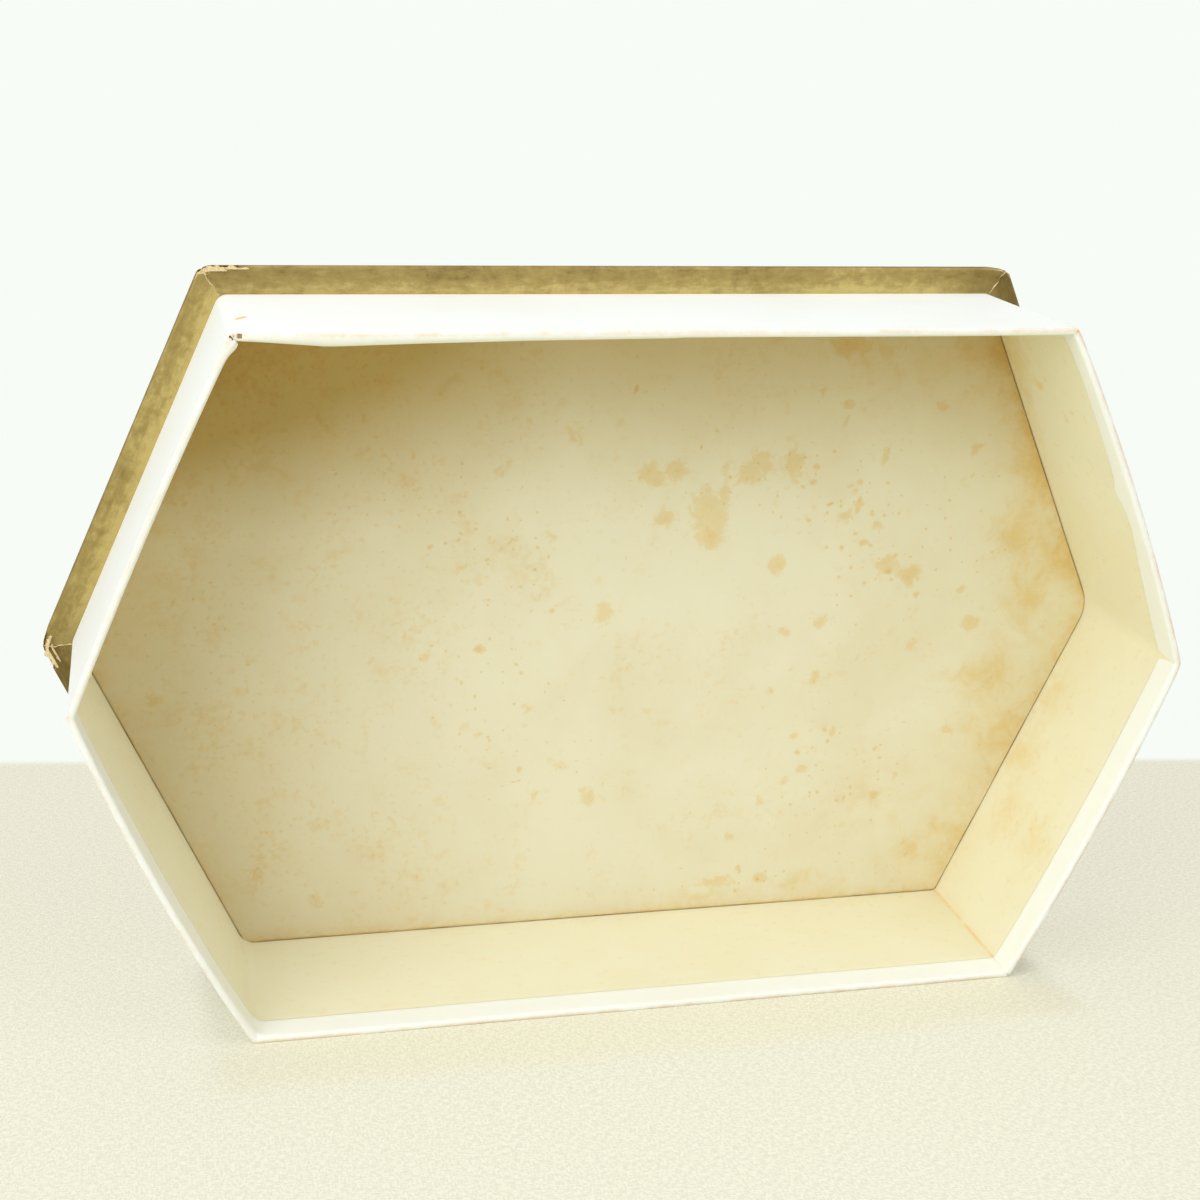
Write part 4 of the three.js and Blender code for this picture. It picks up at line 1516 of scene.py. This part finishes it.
def set_world(stage):
    """A pale background for the eye, and even light for the tray."""
    world = bpy.data.worlds.new("studio_world")
    world.use_nodes = True
    nodes = world.node_tree.nodes
    links = world.node_tree.links
    even = nodes["Background"]
    even.inputs["Color"].default_value = (1.0, 1.0, 1.0, 1.0)
    even.inputs["Strength"].default_value = stage.ambient
    seen = nodes.new("ShaderNodeBackground")
    seen.inputs["Color"].default_value = (*stage.backdrop, 1.0)
    seen.inputs["Strength"].default_value = 1.0
    mix = nodes.new("ShaderNodeMixShader")
    links.new(seen_share(nodes, links), mix.inputs["Fac"])
    links.new(even.outputs[0], mix.inputs[1])
    links.new(seen.outputs[0], mix.inputs[2])
    links.new(mix.outputs[0], nodes["World Output"].inputs["Surface"])
    bpy.context.scene.world = world


def near_tray(make, reach):
    """1 under the tray, falling to 0 at a reach from its footprint, where the floor keeps its full shadow."""
    parts = make.nodes.new("ShaderNodeSeparateXYZ")
    make.give(parts.inputs[0], make.place)
    apart = []
    for axis, half in (("X", FOOT_HALF_LENGTH), ("Y", FOOT_HALF_DEPTH)):
        beyond = make.sum("SUBTRACT", make.sum("ABSOLUTE", parts.outputs[axis], 0.0), half)
        apart.append(make.sum("POWER", make.sum("MAXIMUM", beyond, 0.0), 2.0))
    return make.step(make.sum("SQRT", make.sum("ADD", *apart), 0.0), 0.0, reach, 1.0, 0.0)


def floor_finish(stage):
    """Pale woven floor near the tray, turning into the backdrop behind it."""
    make = Finish("pale_floor")
    warp_threads = make.cloud(THREAD_SIZE, 2, 0.5, place=make.stretched(1, THREAD_STRETCH, 1))
    weft_threads = make.cloud(THREAD_SIZE, 2, 0.5, place=make.stretched(THREAD_STRETCH, 1, 1))
    weave = make.times(make.sum("ADD", warp_threads, weft_threads), 0.5)
    # Painted shade in the gaps between the threads.
    darker = [shade * THREAD_GAP_SHADE for shade in stage.floor]
    tone = make.blend(make.step(weave, 0.41, 0.59), darker, stage.floor)
    material = make.done(tone, 0.9, make.relief(weave, 0.07 * MM), specular=0.1)
    nodes, links = make.nodes, make.links
    forward = Vector((math.sin(FLOOR_TURN), math.cos(FLOOR_TURN), 0.0))
    ahead = nodes.new("ShaderNodeVectorMath")
    ahead.operation = "DOT_PRODUCT"
    links.new(make.place, ahead.inputs[0])
    ahead.inputs[1].default_value = forward
    border = stage.floor_reach - FLOOR_BORDER, stage.floor_reach + FLOOR_BORDER
    behind = make.step(ahead.outputs["Value"], *border)
    near = near_tray(make, SHADOW_REACH)
    plain_lift = make.step(near, 0.0, 1.0, stage.floor_lift, SHADOW_LIFT * stage.floor_lift)
    lifted = make.step(behind, 0.0, 1.0, plain_lift, 1.0)
    seen = make.times(lifted, seen_share(nodes, links))
    glow = nodes.new("ShaderNodeEmission")
    make.give(glow.inputs["Color"], make.blend(behind, tone, stage.backdrop))
    mix = nodes.new("ShaderNodeMixShader")
    links.new(seen, mix.inputs["Fac"])
    links.new(make.shader.outputs[0], mix.inputs[1])
    links.new(glow.outputs[0], mix.inputs[2])
    links.new(mix.outputs[0], nodes["Material Output"].inputs["Surface"])
    return material


def hang_lamp(name, watts, towards):
    """A square soft lamp that faces the tray."""
    lamp = bpy.data.lights.new(name, "AREA")
    lamp.shape = "SQUARE"
    lamp.size = LAMP_WIDTH
    lamp.energy = watts
    hung = bpy.data.objects.new(name, lamp)
    direction = Vector(towards).normalized()
    hung.location = Vector(LAMP_AIM) + direction * LAMP_DISTANCE
    hung.rotation_euler = direction.to_track_quat("Z", "Y").to_euler()
    bpy.context.collection.objects.link(hung)


class BOX_OT_stage(Reading, bpy.types.Operator):
    """Set the floor, the light and the camera"""

    bl_idname = "chocolate_box.stage"
    bl_label = "Studio stage"

    def execute(self, context):
        self.read(context)
        set_world(self.stage)
        reach = FLOOR_HALF_WIDTH
        corners = [(-reach, -reach, 0), (reach, -reach, 0), (reach, reach, 0), (-reach, reach, 0)]
        data = bpy.data.meshes.new("pale_floor")
        data.from_pydata(corners, [], [(0, 1, 2, 3)])
        data.materials.append(floor_finish(self.stage))
        floor = bpy.data.objects.new("pale_floor", data)
        context.collection.objects.link(floor)

        for name, direction in LAMP_DIRECTIONS.items():
            hang_lamp(f"{name}_lamp", getattr(self.stage, f"{name}_power"), direction)

        camera = bpy.data.cameras.new("view_camera")
        camera.sensor_fit = "HORIZONTAL"
        camera.sensor_width = CAMERA_SENSOR
        camera.lens = self.stage.lens
        camera.shift_x, camera.shift_y = CAMERA_SHIFT
        camera.clip_start = CAMERA_NEAREST
        camera_object = bpy.data.objects.new("view_camera", camera)
        camera_object.location = CAMERA_PLACE
        turn = Matrix.Rotation(-CAMERA_YAW, 3, "Z") @ Matrix.Rotation(math.pi / 2 - CAMERA_TILT, 3, "X")
        turn = turn @ Matrix.Rotation(CAMERA_ROLL, 3, "Z")
        camera_object.rotation_euler = turn.to_euler()
        context.collection.objects.link(camera_object)
        context.scene.camera = camera_object
        context.scene.view_settings.view_transform = "Standard"
        return {"FINISHED"}


class BOX_PT_panel(bpy.types.Panel):
    """Lists the pieces of the tray and the stage"""

    bl_idname = "BOX_PT_panel"
    bl_label = "Chocolate box tray"
    bl_space_type = "VIEW_3D"
    bl_region_type = "UI"
    bl_category = "Chocolate box"

    def draw(self, context):
        layout = self.layout
        for operator in OPERATORS:
            layout.operator(operator.bl_idname)


OPERATORS = (
    BOX_OT_boards,
    BOX_OT_plate_cover,
    BOX_OT_torn_paper,
    BOX_OT_wall_cover,
    BOX_OT_wall_lining,
    BOX_OT_floor_card,
    BOX_OT_stage,
)
GROUPS = (TraySizes, TrayColours, StageLook)


def register():
    """Makes the settings, operators and panel known to Blender."""
    for part in GROUPS + OPERATORS + (BOX_PT_panel,):
        bpy.utils.register_class(part)
    bpy.types.Scene.chocolate_box_sizes = PointerProperty(type=TraySizes)
    bpy.types.Scene.chocolate_box_colours = PointerProperty(type=TrayColours)
    bpy.types.Scene.chocolate_box_stage = PointerProperty(type=StageLook)


def unregister():
    """Takes the settings, operators and panel away again."""
    del bpy.types.Scene.chocolate_box_stage
    del bpy.types.Scene.chocolate_box_colours
    del bpy.types.Scene.chocolate_box_sizes
    for part in reversed(GROUPS + OPERATORS + (BOX_PT_panel,)):
        bpy.utils.unregister_class(part)


def main():
    """Builds every piece and the stage."""
    register()
    bpy.ops.chocolate_box.boards()
    bpy.ops.chocolate_box.plate_cover()
    bpy.ops.chocolate_box.torn_paper()
    bpy.ops.chocolate_box.wall_cover()
    bpy.ops.chocolate_box.wall_lining()
    bpy.ops.chocolate_box.floor_card()
    bpy.ops.chocolate_box.stage()


if __name__ == "__main__":
    main()
